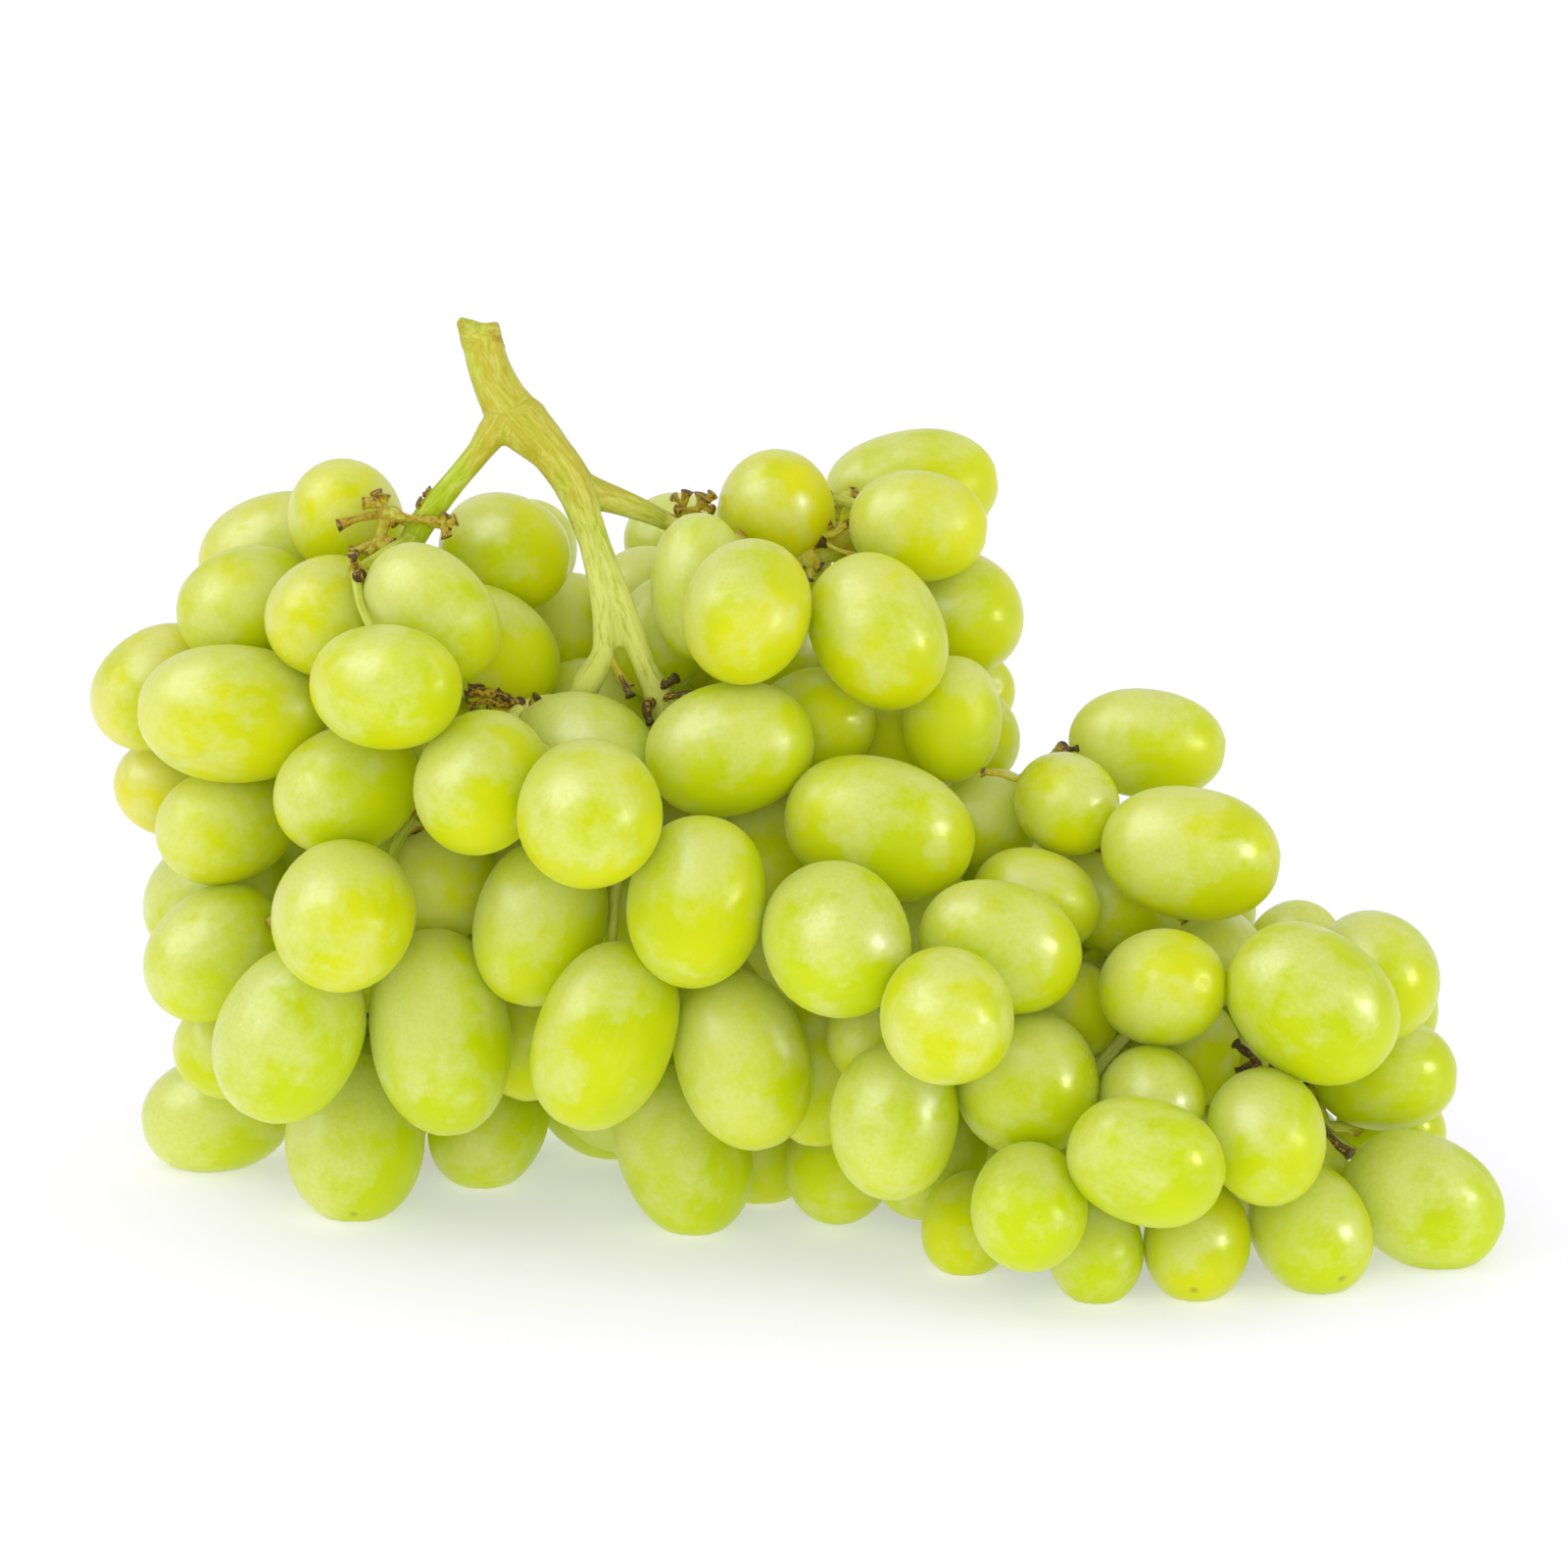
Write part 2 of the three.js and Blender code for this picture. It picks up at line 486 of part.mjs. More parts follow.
// A three-cornered ring round a place, square to the way ahead, turned like the ring it follows.
function ringAfter(ring, place, radius, ahead) {
  const middle = ring[0].clone().add(ring[1]).add(ring[2]).divideScalar(3);
  return ring.map((corner) => {
    const spoke = corner.clone().sub(middle);
    spoke.addScaledVector(ahead, -spoke.dot(ahead)).setLength(radius);
    return spoke.add(place);
  });
}

// The six facets that join one three-cornered ring to the next.
function sleeve(ring, next) {
  return [0, 1, 2].flatMap((side) => {
    const turned = (side + 1) % 3;
    return [ring[side], ring[turned], next[turned], ring[side], next[turned], next[side]];
  });
}

// A berry and its pedicel as one closed body: the facet nearest to its neck is drawn out along the
// places the pedicel passes, the last of them inside the knot of its spray.
function stalkedBerry(berry, places) {
  const facets = berryFacets(berry);
  let ring = takeFacetNearest(facets, toSpace(places[0]));
  let behind = toSpace(berry.place);
  const corners = facets.flat();
  for (const place of places.map(toSpace)) {
    const next = ringAfter(ring, place, PEDICEL_RADIUS, place.clone().sub(behind).normalize());
    corners.push(...sleeve(ring, next));
    ring = next;
    behind = place;
  }
  return asSolid(new THREE.BufferGeometry().setFromPoints([...corners, ...ring]));
}

function knotSolid(knot, swell = 0) {
  const geometry = new THREE.OctahedronGeometry(HUB_RADIUS + swell, 0);
  const centre = toSpace(knot);
  geometry.translate(centre.x, centre.y, centre.z);
  return asSolid(geometry);
}

// A closed tube through the stations of a route, each [place, radius].
function tubeSolid(route, sides, swell = 0) {
  const centres = route.map(([place]) => toSpace(place));
  const positions = [];
  const indices = [];
  let across = new THREE.Vector3(0, 0, 1);
  centres.forEach((centre, station) => {
    const before = centres[Math.max(station - 1, 0)];
    const after = centres[Math.min(station + 1, centres.length - 1)];
    const ahead = after.clone().sub(before).normalize();
    if (station === 0 && Math.abs(ahead.z) > STEEP_RISE) across = new THREE.Vector3(1, 0, 0);
    across = across.clone().addScaledVector(ahead, -across.dot(ahead)).normalize();
    const upward = new THREE.Vector3().crossVectors(ahead, across);
    for (let side = 0; side < sides; side += 1) {
      const turn = (2 * Math.PI * side) / sides;
      const radius = route[station][1] + swell;
      const corner = centre.clone().addScaledVector(across, radius * Math.cos(turn));
      corner.addScaledVector(upward, radius * Math.sin(turn));
      positions.push(corner.x, corner.y, corner.z);
      const next = (side + 1) % sides;
      const ring = station * sides;
      if (station === 0) continue;
      indices.push(ring - sides + side, ring - sides + next, ring + side);
      indices.push(ring - sides + next, ring + next, ring + side);
    }
  });
  const last = (centres.length - 1) * sides;
  for (let side = 1; side < sides - 1; side += 1) {
    indices.push(0, side + 1, side);
    indices.push(last, last + side, last + side + 1);
  }
  const geometry = new THREE.BufferGeometry();
  geometry.setAttribute('position', new THREE.Float32BufferAttribute(positions, 3));
  geometry.setIndex(indices);
  return asSolid(geometry);
}

function joined(solids) {
  return solids.reduce((whole, solid) => whole.add(solid));
}

// ---- The knots, pedicels and side branches, each routed clear of what is already in place ----

const obstacles = [...berries, ...stemBalls];
const knots = sprayBerries.map((spray) => {
  const knot = knotOf(spray, obstacles);
  obstacles.push(ballAt(knot, HUB_RADIUS));
  return knot;
});
const pedicels = sprayBerries.map((spray, index) => {
  const others = obstacles.filter((body) => body.place !== knots[index]);
  const routes = spray.map((berry) => pedicelRoute(berry, knots[index], others));
  obstacles.push(...routes.flatMap(ballsOnRoute));
  return routes;
});
const laterals = knots.map((knot, index) => {
  const foreignRoutes = pedicels.filter((routes) => routes !== pedicels[index]).flat();
  return lateralRoute(knot, limbBalls, [...berries, ...foreignRoutes.flatMap(ballsOnRoute)]);
});

// ---- Nodes ----

function passesThrough(route, berry) {
  return ballsOnRoute(route).some((ball) => (
    ball.place.distanceTo(berry.place) < REACH_LIMIT && gapBetween(berry, ball).gap < SMALLEST_GAP
  ));
}

function groundBlock() {
  const geometry = new THREE.BoxGeometry(GROUND_SIZE, GROUND_SIZE, GROUND_DEPTH);
  geometry.translate(0, 0, -GROUND_DEPTH / 2);
  return asSolid(geometry);
}

// The berries of a spray with their pedicels, all joined at its knot.
function sprayBody(spray, index) {
  const knot = knots[index];
  const stalked = spray.map((berry, place) => {
    const places = pedicels[index][place].slice(0, -1).map(([station]) => station);
    const last = places[places.length - 1];
    const end = knot.clone().lerp(last, PEDICEL_END / knot.distanceTo(last));
    return stalkedBerry(berry, [...places, end]);
  });
  return joined([knotSolid(knot), ...stalked]);
}

// Cuts a groove, a little wider than the tube, for each route that presses against the solid.
function grooved(solid, routes) {
  return routes.reduce((rest, route) => rest.subtract(tubeSolid(route, GROOVE_SIDES, GROOVE_MARGIN)), solid);
}

// A spray has grooves where a branch or another spray's pedicel presses against its berries,
// and its low berries are flat where they rest.
function spraySolid(spray, index, ground) {
  const foreignRoutes = [...laterals, ...pedicels.filter((routes) => routes !== pedicels[index]).flat()];
  const solid = grooved(sprayBody(spray, index), foreignRoutes.filter((route) => (
    spray.some((berry) => passesThrough(route, berry))
  )));
  const lowest = Math.min(...spray.map((berry) => (
    berry.place.dot(FLOOR_UP) - reachAlong(berry, FLOOR_UP) * BERRY_FACET_SWELL
  )));
  return lowest < 0 ? solid.subtract(ground) : solid;
}

function limbSolid(limb, sides, spacing) {
  const curve = limbCurve(limb);
  const count = Math.ceil(curve.getLength() / spacing);
  const route = [];
  for (let index = 0; index <= count; index += 1) {
    route.push([curve.getPoint(index / count), limbRadius(limb, index / count)]);
  }
  return tubeSolid(route, sides);
}

function largestBody(solid) {
  return solid.decompose().reduce((best, body) => (body.volume() > best.volume() ? body : best));
}

function stemSolid() {
  const branches = [
    ...LIMBS.map((limb) => limbSolid(limb, STEM_SIDES, LIMB_SPACING)),
    ...[...CUT_END_LIPS, ...BARE_TWIGS].map((twig) => limbSolid(twig, TUBE_SIDES, LIMB_SPACING)),
    ...laterals.map((route) => tubeSolid(route, TUBE_SIDES)),
  ];
  const hollows = joined(knots.map((knot) => knotSolid(knot, JOINT_GAP)));
  return largestBody(grooved(joined(branches), pedicels.flat()).subtract(hollows));
}

const berryMaterial = new THREE.MeshStandardMaterial({ color: '#b7cc45', roughness: 0.38, metalness: 0 });
const stemMaterial = new THREE.MeshStandardMaterial({ color: '#a8a84a', roughness: 0.7, metalness: 0 });

function addNode(bunch, name, solid, material) {
  const mesh = new THREE.Mesh(asGeometry(solid), material);
  mesh.name = name;
  bunch.add(mesh);
}

const grapeBunch = new THREE.Group();
const ground = groundBlock();
addNode(grapeBunch, 'stem', stemSolid(), stemMaterial);
sprayBerries.forEach((spray, index) => {
  const front = index < FRONT_SPRAYS.length;
  const number = String(front ? index + 1 : index + 1 - FRONT_SPRAYS.length).padStart(2, '0');
  addNode(grapeBunch, `${front ? 'front' : 'back'}_spray_${number}`, spraySolid(spray, index, ground), berryMaterial);
});

export default grapeBunch;
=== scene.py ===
"""Dresses a bunch of white table grapes that lies on its side: berries, pedicels and stem."""

import math

import bpy
import numpy as np
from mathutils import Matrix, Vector
from mathutils.kdtree import KDTree


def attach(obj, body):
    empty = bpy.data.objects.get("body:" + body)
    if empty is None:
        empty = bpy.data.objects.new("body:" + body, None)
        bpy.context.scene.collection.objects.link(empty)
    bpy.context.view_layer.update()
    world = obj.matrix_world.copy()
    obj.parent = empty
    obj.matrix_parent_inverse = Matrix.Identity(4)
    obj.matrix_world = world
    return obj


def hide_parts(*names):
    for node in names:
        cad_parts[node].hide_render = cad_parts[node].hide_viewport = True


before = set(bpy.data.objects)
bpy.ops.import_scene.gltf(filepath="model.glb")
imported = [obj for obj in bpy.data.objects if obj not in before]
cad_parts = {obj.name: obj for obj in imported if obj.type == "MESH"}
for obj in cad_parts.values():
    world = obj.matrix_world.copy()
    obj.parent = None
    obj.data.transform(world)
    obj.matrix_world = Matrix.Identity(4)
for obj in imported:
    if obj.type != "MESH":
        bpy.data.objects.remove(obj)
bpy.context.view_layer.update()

MM = 0.001

# ---- Driving dimensions, in millimetres, as the solids have them ----

LEAN = math.radians(15)  # tilt of the drawing plane in which the berries are set out
SIN_LEAN, COS_LEAN = math.sin(LEAN), math.cos(LEAN)
CENTRE_X = 0.91
CENTRE_Y = -2.39
BERRY_SLENDERNESS = 1.27
BERRY_CLEARANCE = 0.55
SMALLEST_GAP = 0.4
FLAT_SPOT_DEPTH = 0.8
SAG = 4
PEDICEL_RADIUS = 0.65
NECK_HEIGHT = 1.2
PEDICEL_REACH = 5
HUB_RADIUS = 1.6
LATERAL_RADIUS = 1
ANCHORS_TRIED = 16
BEND_SHARES = (1 / 3, 2 / 3)
TUBE_CLEARANCE = 0.45
JOINT_GAP = 0.35
SETTLING_PASSES = 420
HOLDING_PASSES = 300
ROUTING_PASSES = 60
HIDDEN_SEED = 20417
DRAW_FACTOR = 16807
DRAW_MODULUS = 2147483647
REACH_LIMIT = 34
GAP_TURNS = 3
BALL_SPACING = 3
TUBE_BALL_SPACING = 2
ARC_DIVISIONS = 200
SHOWN_EASE = np.array([0.3, 0.3, 1])  # a berry that shows gives way less across and up than out
STEP_SHARE = 0.45
HOME_PULL = 0.16
HIDDEN_PULL = 0.02

# ---- The berries of the front, one row each ----
# [across, up, out, width, length as seen, direction of its tip in degrees, touches the surface]

FRONT_SPRAYS = [
    [[-92, 76.5, 0, 16.5, 20, 215], [-90, 62, -8, 14, 17, 170], [-82, 56.5, 8, 16.5, 20, 200]],
    [[-75.5, 96.3, -6, 16.5, 22, 200], [-79, 88, 6, 17, 20, 200], [-81.5, 89, -18, 13.5, 16, 190]],
    [[-64.5, 101, -2, 16, 17, 120], [-66.5, 87, 18, 17, 18, 200]],
    [[-57.8, 76.5, 34, 17.6, 21.3, 355], [-52, 87, 20, 16, 22, 315], [-43, 82, 6, 16, 21, 320]],
    [[-80, 73.5, 18, 19.5, 27, 177], [-64, 61.5, 20, 18, 21, 205]],
    [[-41.4, 96.2, 2, 16.7, 18.8, 340], [-39.2, 95.6, -13, 15, 17, 60], [-31.5, 84.5, -6, 14, 17, 280]],
    [[-64.2, 43.4, 34, 20.2, 21.3, 250], [-83.5, 38, 8, 17.5, 22, 220], [-72.3, 26, 24, 20.5, 26, 245]],
    [[-84, 14, -18, 17, 22, 190, True], [-81, 24, -5, 15, 17, 190], [-63.3, 10.8, 7, 20, 24, 270, True]],
    [[-50.3, 26.6, 26, 20, 29.7, 277], [-50.5, 48, 14, 15.5, 17, 270]],
    [[-44, 12.5, -12, 16.5, 19, 240, True], [-37.1, 25.3, 6, 14, 18, 250]],
    [[-44.2, 62.7, 32, 18.5, 20.5, 240], [-28.7, 58.1, 42, 20.5, 21, 270], [-29.5, 66.5, 26, 18, 21, 345]],
    [[-36, 42, 28, 18.5, 24, 255], [-24.7, 44.6, 16, 16, 17, 260], [-26.4, 26.3, 32, 19.5, 27.5, 248]],
    [[-12.9, 45.1, 44, 19.4, 24.4, 262], [-6.7, 22.6, 32, 18.8, 26, 287], [-15.3, 9, 11, 18.5, 25, 290, True],
     [4.4, 20.5, 20, 14.5, 21, 265]],
    [[-8.3, 67, 34, 18.7, 24, 12], [-3.6, 52.5, 18, 14, 15, 270], [3.5, 71, 16, 16, 18, 20]],
    [[12.9, 84.4, 26, 18.5, 23, 300], [25, 87.3, 8, 17, 18, 320], [23.5, 71.8, 20, 14, 18, 270],
     [16, 70, 8, 13.5, 17, 250]],
    [[-6, 87.2, 26, 17.8, 20.3, 255], [-13, 91, 10, 13.5, 21, 270], [-2.5, 102, 4, 16.5, 17.5, 100]],
    [[18, 105.5, -4, 17, 25, 8], [18.8, 99.8, 12, 15.5, 19.7, 355]],
    [[26.8, 69.4, 6, 13, 14, 300], [26.4, 75.5, -6, 12, 13, 20]],
    [[-15.8, 97.6, -8, 14.5, 16, 160], [-21.5, 90.5, 2, 12.5, 14, 200], [-18.5, 84, 6, 14, 18, 240]],
    [[12.6, 56.3, 38, 19.7, 27.5, 344], [6.6, 40.2, 46, 20.6, 22, 300], [11.5, 26, 34, 12, 13, 280]],
    [[15.1, 14.1, 46, 17.9, 22.3, 265], [7.8, 7.6, 14, 15.6, 18, 250], [20.5, 8, 26, 15, 18, 235],
     [22.3, 29.3, 58, 18.7, 19.2, 280]],
    [[34.6, 19.3, 45, 20.2, 20.9, 290], [34.4, 2, 46, 16.2, 17.8, 270], [25.9, -0.3, 34, 13, 15, 250, True],
     [44.3, -4.4, 46, 13.5, 16, 275, True]],
    [[30.4, 39, 43, 18, 23.5, 342], [35.7, 45.6, 30, 14.2, 18.5, 345], [41.3, 29.8, 34, 12.8, 13.6, 290]],
    [[52, 68.2, 12, 15.5, 22.4, 353], [40.2, 59.5, 24, 14, 15, 320], [28.6, 57.3, 18, 14, 16.5, 200]],
    [[58, 52.4, 26, 18.8, 25.5, 350], [45.3, 45.6, 28, 14.2, 17, 330], [62, 37.2, 24, 13, 14, 300]],
    [[53.9, 32.7, 39, 16.4, 17.8, 5], [52, 17.4, 30, 14.6, 15.2, 300], [58.8, 23.5, 24, 13, 15, 270]],
    [[51, 8.4, 50, 17.7, 22.5, 339], [58.4, -3.4, 44, 15, 17.2, 265, True]],
    [[68.6, 12, 48, 16.8, 19, 280], [75.1, -1.7, 38.5, 16.5, 19.3, 302, True],
     [67.5, 22.5, 22, 12.5, 14, 270]],
    [[74.9, 30.6, 40, 20.5, 26, 323], [73.2, 37.9, 16, 13.6, 15, 60]],
    [[84.9, 34.7, 22, 17.2, 18.6, 310], [86.4, 20.4, 22, 16, 20.5, 357]],
    [[91.8, 2.2, 27, 18.3, 24, 331, True], [87.6, 12.2, 10, 12.5, 15.5, 350]],
]

# ---- The sprays of the back and the underside ----
# [knot as (across, back, height), facing as (turn from +X, rise) in degrees, berries]

HIDDEN_SPRAYS = [
    [[-65, 13, 62], [106, 0], 5],
    [[-55, 17, 40], [104, -8], 5],
    [[-56, 16, 17], [105, -15], 4],
    [[-40, 14, 60], [84, 0], 5],
    [[-36, 20, 24], [84, -8], 5],
    [[-16, 12, 68], [85, 12], 5],
    [[-12, 6, 42], [90, 0], 5],
    [[-4, 9, 20], [88, -30], 4],
    [[10, 4, 50], [84, -5], 5],
    [[18, 0, 30], [85, -10], 5],
    [[36, -8, 30], [78, -5], 5],
    [[46, -12, 16], [85, -20], 4],
    [[58, -16, 20], [68, -8], 5],
]
HIDDEN_WIDTH = 18
HIDDEN_WIDTH_SPREAD = 2
HIDDEN_TILT_DEGREES = 58
HIDDEN_TILT_SPREAD = 8
HIDDEN_ROUND_SPREAD = 0.2
MIDDLE_BERRY_LIFT = 0.5

# ---- The stem: each limb a list of [across, up, out, radius] ----

PEDUNCLE = [
    [-45, 128.7, 20, 3.1], [-44.2, 125.5, 20, 3], [-43, 121.5, 20, 3.2], [-41, 117.5, 20, 3.6],
    [-38.5, 114.5, 20, 4.1], [-34.5, 110.5, 20, 3.1], [-31.3, 106, 20.5, 3], [-30, 101, 21, 2.5],
    [-28.5, 96, 22, 2.2], [-26.8, 91, 23, 2.1], [-24.8, 86, 23.5, 2.1], [-21.6, 79, 22, 1.8],
    [-18.5, 73.5, 18, 1.9], [-5, 62, 12, 2], [15, 50, 10, 1.9], [35, 38, 10, 1.8],
    [55, 28, 11, 1.6], [72, 20, 11, 1.4],
]
FORK = [[-26.2, 88, 23.5, 1.8], [-28, 81, 21, 1.6], [-31, 74, 15, 1.5], [-36, 60, 8, 1.5], [-38, 42, 4, 1.4]]
LEFT_SHOULDER = [
    [-39, 113, 20, 2.8], [-44.5, 111, 19, 2.2], [-48, 107, 18, 2], [-51, 103.5, 16.5, 1.9],
    [-54, 99.5, 14, 1.8], [-56.5, 94, 10, 1.7], [-62, 78, 2, 1.7], [-67, 58, 2, 1.6], [-67, 38, 2, 1.4],
    [-66, 26, 0, 1.2],
]
RIGHT_SHOULDER = [
    [-31, 106.5, 20, 2.4], [-26, 104.2, 18, 1.9], [-21, 102, 14, 1.6], [-16.5, 100, 7, 1.4],
    [-8, 96, -1, 1.3], [3, 92.5, -3, 1.3], [16, 86, -4, 1.2],
]
LOWER_LIMB = [[-8, 64.5, 13, 1.8], [-10, 52, 6, 1.5], [-9, 40, 2, 1.4], [-4, 30, 2, 1.3]]
TAIL_LIMB = [[36, 37.5, 10, 1.6], [38, 28, 15, 1.4], [43, 18, 19, 1.3], [50, 11, 21, 1.2]]
LIMBS = [PEDUNCLE, FORK, LEFT_SHOULDER, RIGHT_SHOULDER, LOWER_LIMB, TAIL_LIMB]
BARE_TWIGS = [
    [[-54, 99.5, 14, 1], [-58, 101.5, 15, 0.9], [-62, 101, 15, 0.7], [-65.5, 100, 15.5, 1.1]],
    [[-58, 101.5, 15, 0.8], [-59.3, 103, 15.5, 0.6], [-60, 104.8, 16, 1]],
    [[-55, 97.5, 12, 0.9], [-59.5, 97.4, 14, 0.8], [-63.5, 96, 15, 0.9]],
    [[-52.5, 101.5, 15, 0.8], [-52.3, 104.6, 16, 0.8]],
    [[-17, 100.2, 8, 1], [-15.3, 103, 10, 0.7], [-14.8, 105, 10.5, 0.9]],
    [[-15.8, 102, 9.4, 0.7], [-13, 102.5, 11, 0.6], [-11, 104.5, 12, 0.9]],
    [[2, 93, -3, 1], [3, 97, -1, 0.7], [6.5, 101.5, 2, 0.7]],
    [[3, 97, -1, 0.7], [5.8, 98.6, 0, 0.6], [9, 100.4, 1, 0.6]],
]

# ---- Shapes of the pieces, in millimetres; a wave's pitch is in radians per millimetre ----

BERRY_SWELL = 0.25  # the skins close most of the gap that the solids keep
BERRY_AROUND = 48
BERRY_ALONG = 30
BERRY_FULLNESS = 0.022
STALK_FULLNESS = 0.35  # how much fuller the half at the stalk is, and the half at the tip less
BERRY_UNEVENNESS = 0.011
BERRY_WAVES = 7
BERRY_WAVE_PITCH = (0.22, 0.5)
TIP_DIMPLE = (0.28, 1.3)  # depth, radius
STALK_DIMPLE = (0.7, 2.6)
COLLAR_RADIUS = 1.45
COLLAR_TAPER = 0.85
COLLAR_DEPTH = 0.9
COLLAR_HEIGHT = 0.35
PEDICEL_SIDES = 10
PEDICEL_SPACING = 0.6
KNOT_PEDICEL_RADIUS = 0.95
LIMB_SIDES = 20
LIMB_SPACING = 0.8
VOXEL = 0.4
SMOOTHING = 0.5
SMOOTHING_ROUNDS = 3
BARK_WAVES = 9
RIDGE_HEIGHT = 0.05
RIDGE_PITCH = (2.2, 3.6)
RIDGE_STRETCH = (1, 1, 0.12)
WART_HEIGHT = 0.12
WART_PITCH = (1.6, 3.2)
FLARE_LENGTH = 0.7
FLARE = 1.9
WIDEST_FLARE = 0.95
TWIG_THINNING = 0.72
TWIG_SIDES = 10
TWIG_SPACING = 0.3
TWIG_UNEVENNESS = 0.2
TWIG_PITCH = (1.2, 2.6)
STUBS_PER_KNOT = 3
STUB_LENGTH = (2.5, 4.5)
STUB_ROOT_RADIUS = 1
STUB_RADIUS = 0.8
GROOVE = [[-28.4, 100], [-26.3, 91]]  # its upper and lower end, across and up
GROOVE_DEPTH = 0.55
GROOVE_WIDTH = 0.45
UPRIGHT = 0.9  # an axis with more than this share of its length upwards counts as upright

# ---- How the berries and the stem differ from place to place ----

LOOKS_SEED = 731
POLISH_SEED = 52
PATTERN_SHIFT = 50  # every piece has its own stretch of the patterns, up to so many millimetres off
DRAWN_YELLOWNESS = 0.5
YELLOWER_UP = ((10, 100), (-0.1, 0.5))  # heights, and what they add to the yellowness
PAINTED_HIGHLIGHT_SIDE = np.array([-0.55, -0.35, 0.76])  # painted highlight: the pale wax clouds are pushed towards the sides that face the key and gloss lamps
PAINTED_HIGHLIGHT_BIAS = 0.15
WAX_SPREAD = 0.035
SCARRED_SHARE = 0.25  # of the berries that the photograph doesn't show

# What single berries show: (spray, place in the spray) to (yellowness, more wax, amber)
NOTED_BERRIES = {
    (0, 0): (1, 0, 0.15), (0, 1): (1, -0.03, 0.3), (1, 0): (0.9, 0.02, 0.05), (2, 0): (0.9, 0.03, 0),
    (3, 1): (0.4, 0.08, 0), (4, 0): (0.7, 0, 0), (7, 0): (0.2, 0.08, 0), (10, 2): (0, 0.12, 0),
    (15, 1): (0.2, 0.1, 0), (15, 2): (1, -0.04, 0.15), (18, 0): (0.2, 0.1, 0), (24, 2): (0.8, 0.05, 0.3),
    (26, 1): (0.5, -0.02, 0.06),
}
SCARRED_BERRIES = [(4, 0), (6, 2), (7, 2), (19, 0), (26, 1), (27, 1)]

# Dryness goes from 0, green, to past 1, dark and dead; youth goes from 0, olive, to 1, green
COLLAR_DRYNESS = 0.95
PEDICEL_DRYNESS = 0.05
DRYNESS_FALL = 0.45  # per millimetre from the berry
PEDICEL_YOUTH = 0.6
PEDICEL_PALENESS = 0.3
TWIG_YOUTH = 0.2
LIP_DRYNESS = [0, 0.5]
LATERAL_DRYNESS = [0, 0.5]
STUB_DRYNESS = [0.5, 0.7, 1.1]
YOUNG_FROM = (90, 108)  # the strands are young below the first height and old above the second, and painted paler below it, partly as painted light where they lie in the berries' shade
YOUNG_LEFT_OF = (-49, -44)

# ---- The limbs as they are dressed, each beside the limb that the solids have ----

DRESSED_PEDUNCLE = [
    *PEDUNCLE[:7], [-29.4, 101, 21, 2.4], [-27.6, 96, 22, 2.2], [-25.6, 91.5, 23, 1.9],
    [-23.4, 86.3, 23.5, 1.75], [-21, 80, 22.5, 1.65], [-19, 75.5, 19.5, 2.1], [-17.8, 73, 17.5, 2.3],
    *PEDUNCLE[13:],
]
DRESSED_FORK = [
    [-29.4, 100, 21, 1.6], [-28.3, 95.5, 22.3, 1.7], [-27.2, 90, 23.2, 1.7], [-26.7, 85, 23.4, 1.7],
    [-26.9, 81.3, 22.8, 1.7], [-29.2, 77, 19.5, 2.1], *FORK[2:],
]
DRESSED_LEFT_SHOULDER = [
    [-39.6, 116.2, 20, 2.8], [-42.5, 113.7, 19.6, 2.45], [-44.8, 110.6, 19, 1.9], [-48, 106.8, 18, 1.75],
    [-51.3, 102.8, 16.5, 1.9], [-54, 99, 14, 2], *LEFT_SHOULDER[5:],
]
DRESSED_RIGHT_SHOULDER = [
    [-31.4, 105.6, 20, 2.9], [-28.4, 104.5, 19, 2.4], [-25, 103.5, 17.3, 2], [-21, 102, 14, 1.65],
    *RIGHT_SHOULDER[3:],
]
FORK_WEB = [[-25.4, 86.5, 22.8, 1.6], [-24.9, 84, 22.4, 1.5], [-24.7, 82.3, 22, 1.1]]
DRESSED_LIMBS = [DRESSED_PEDUNCLE, DRESSED_FORK, DRESSED_LEFT_SHOULDER, DRESSED_RIGHT_SHOULDER,
                 LOWER_LIMB, TAIL_LIMB, FORK_WEB]
DRESSED_LIPS = [
    [[-44.6, 127.2, 20, 2.6], [-47.9, 129.5, 20.3, 0.7]],
    [[-44.6, 127.2, 20, 2.6], [-42.3, 128.4, 19.7, 0.9]],
]

# ---- The bare twigs that show between the berries, by how dry they are ----

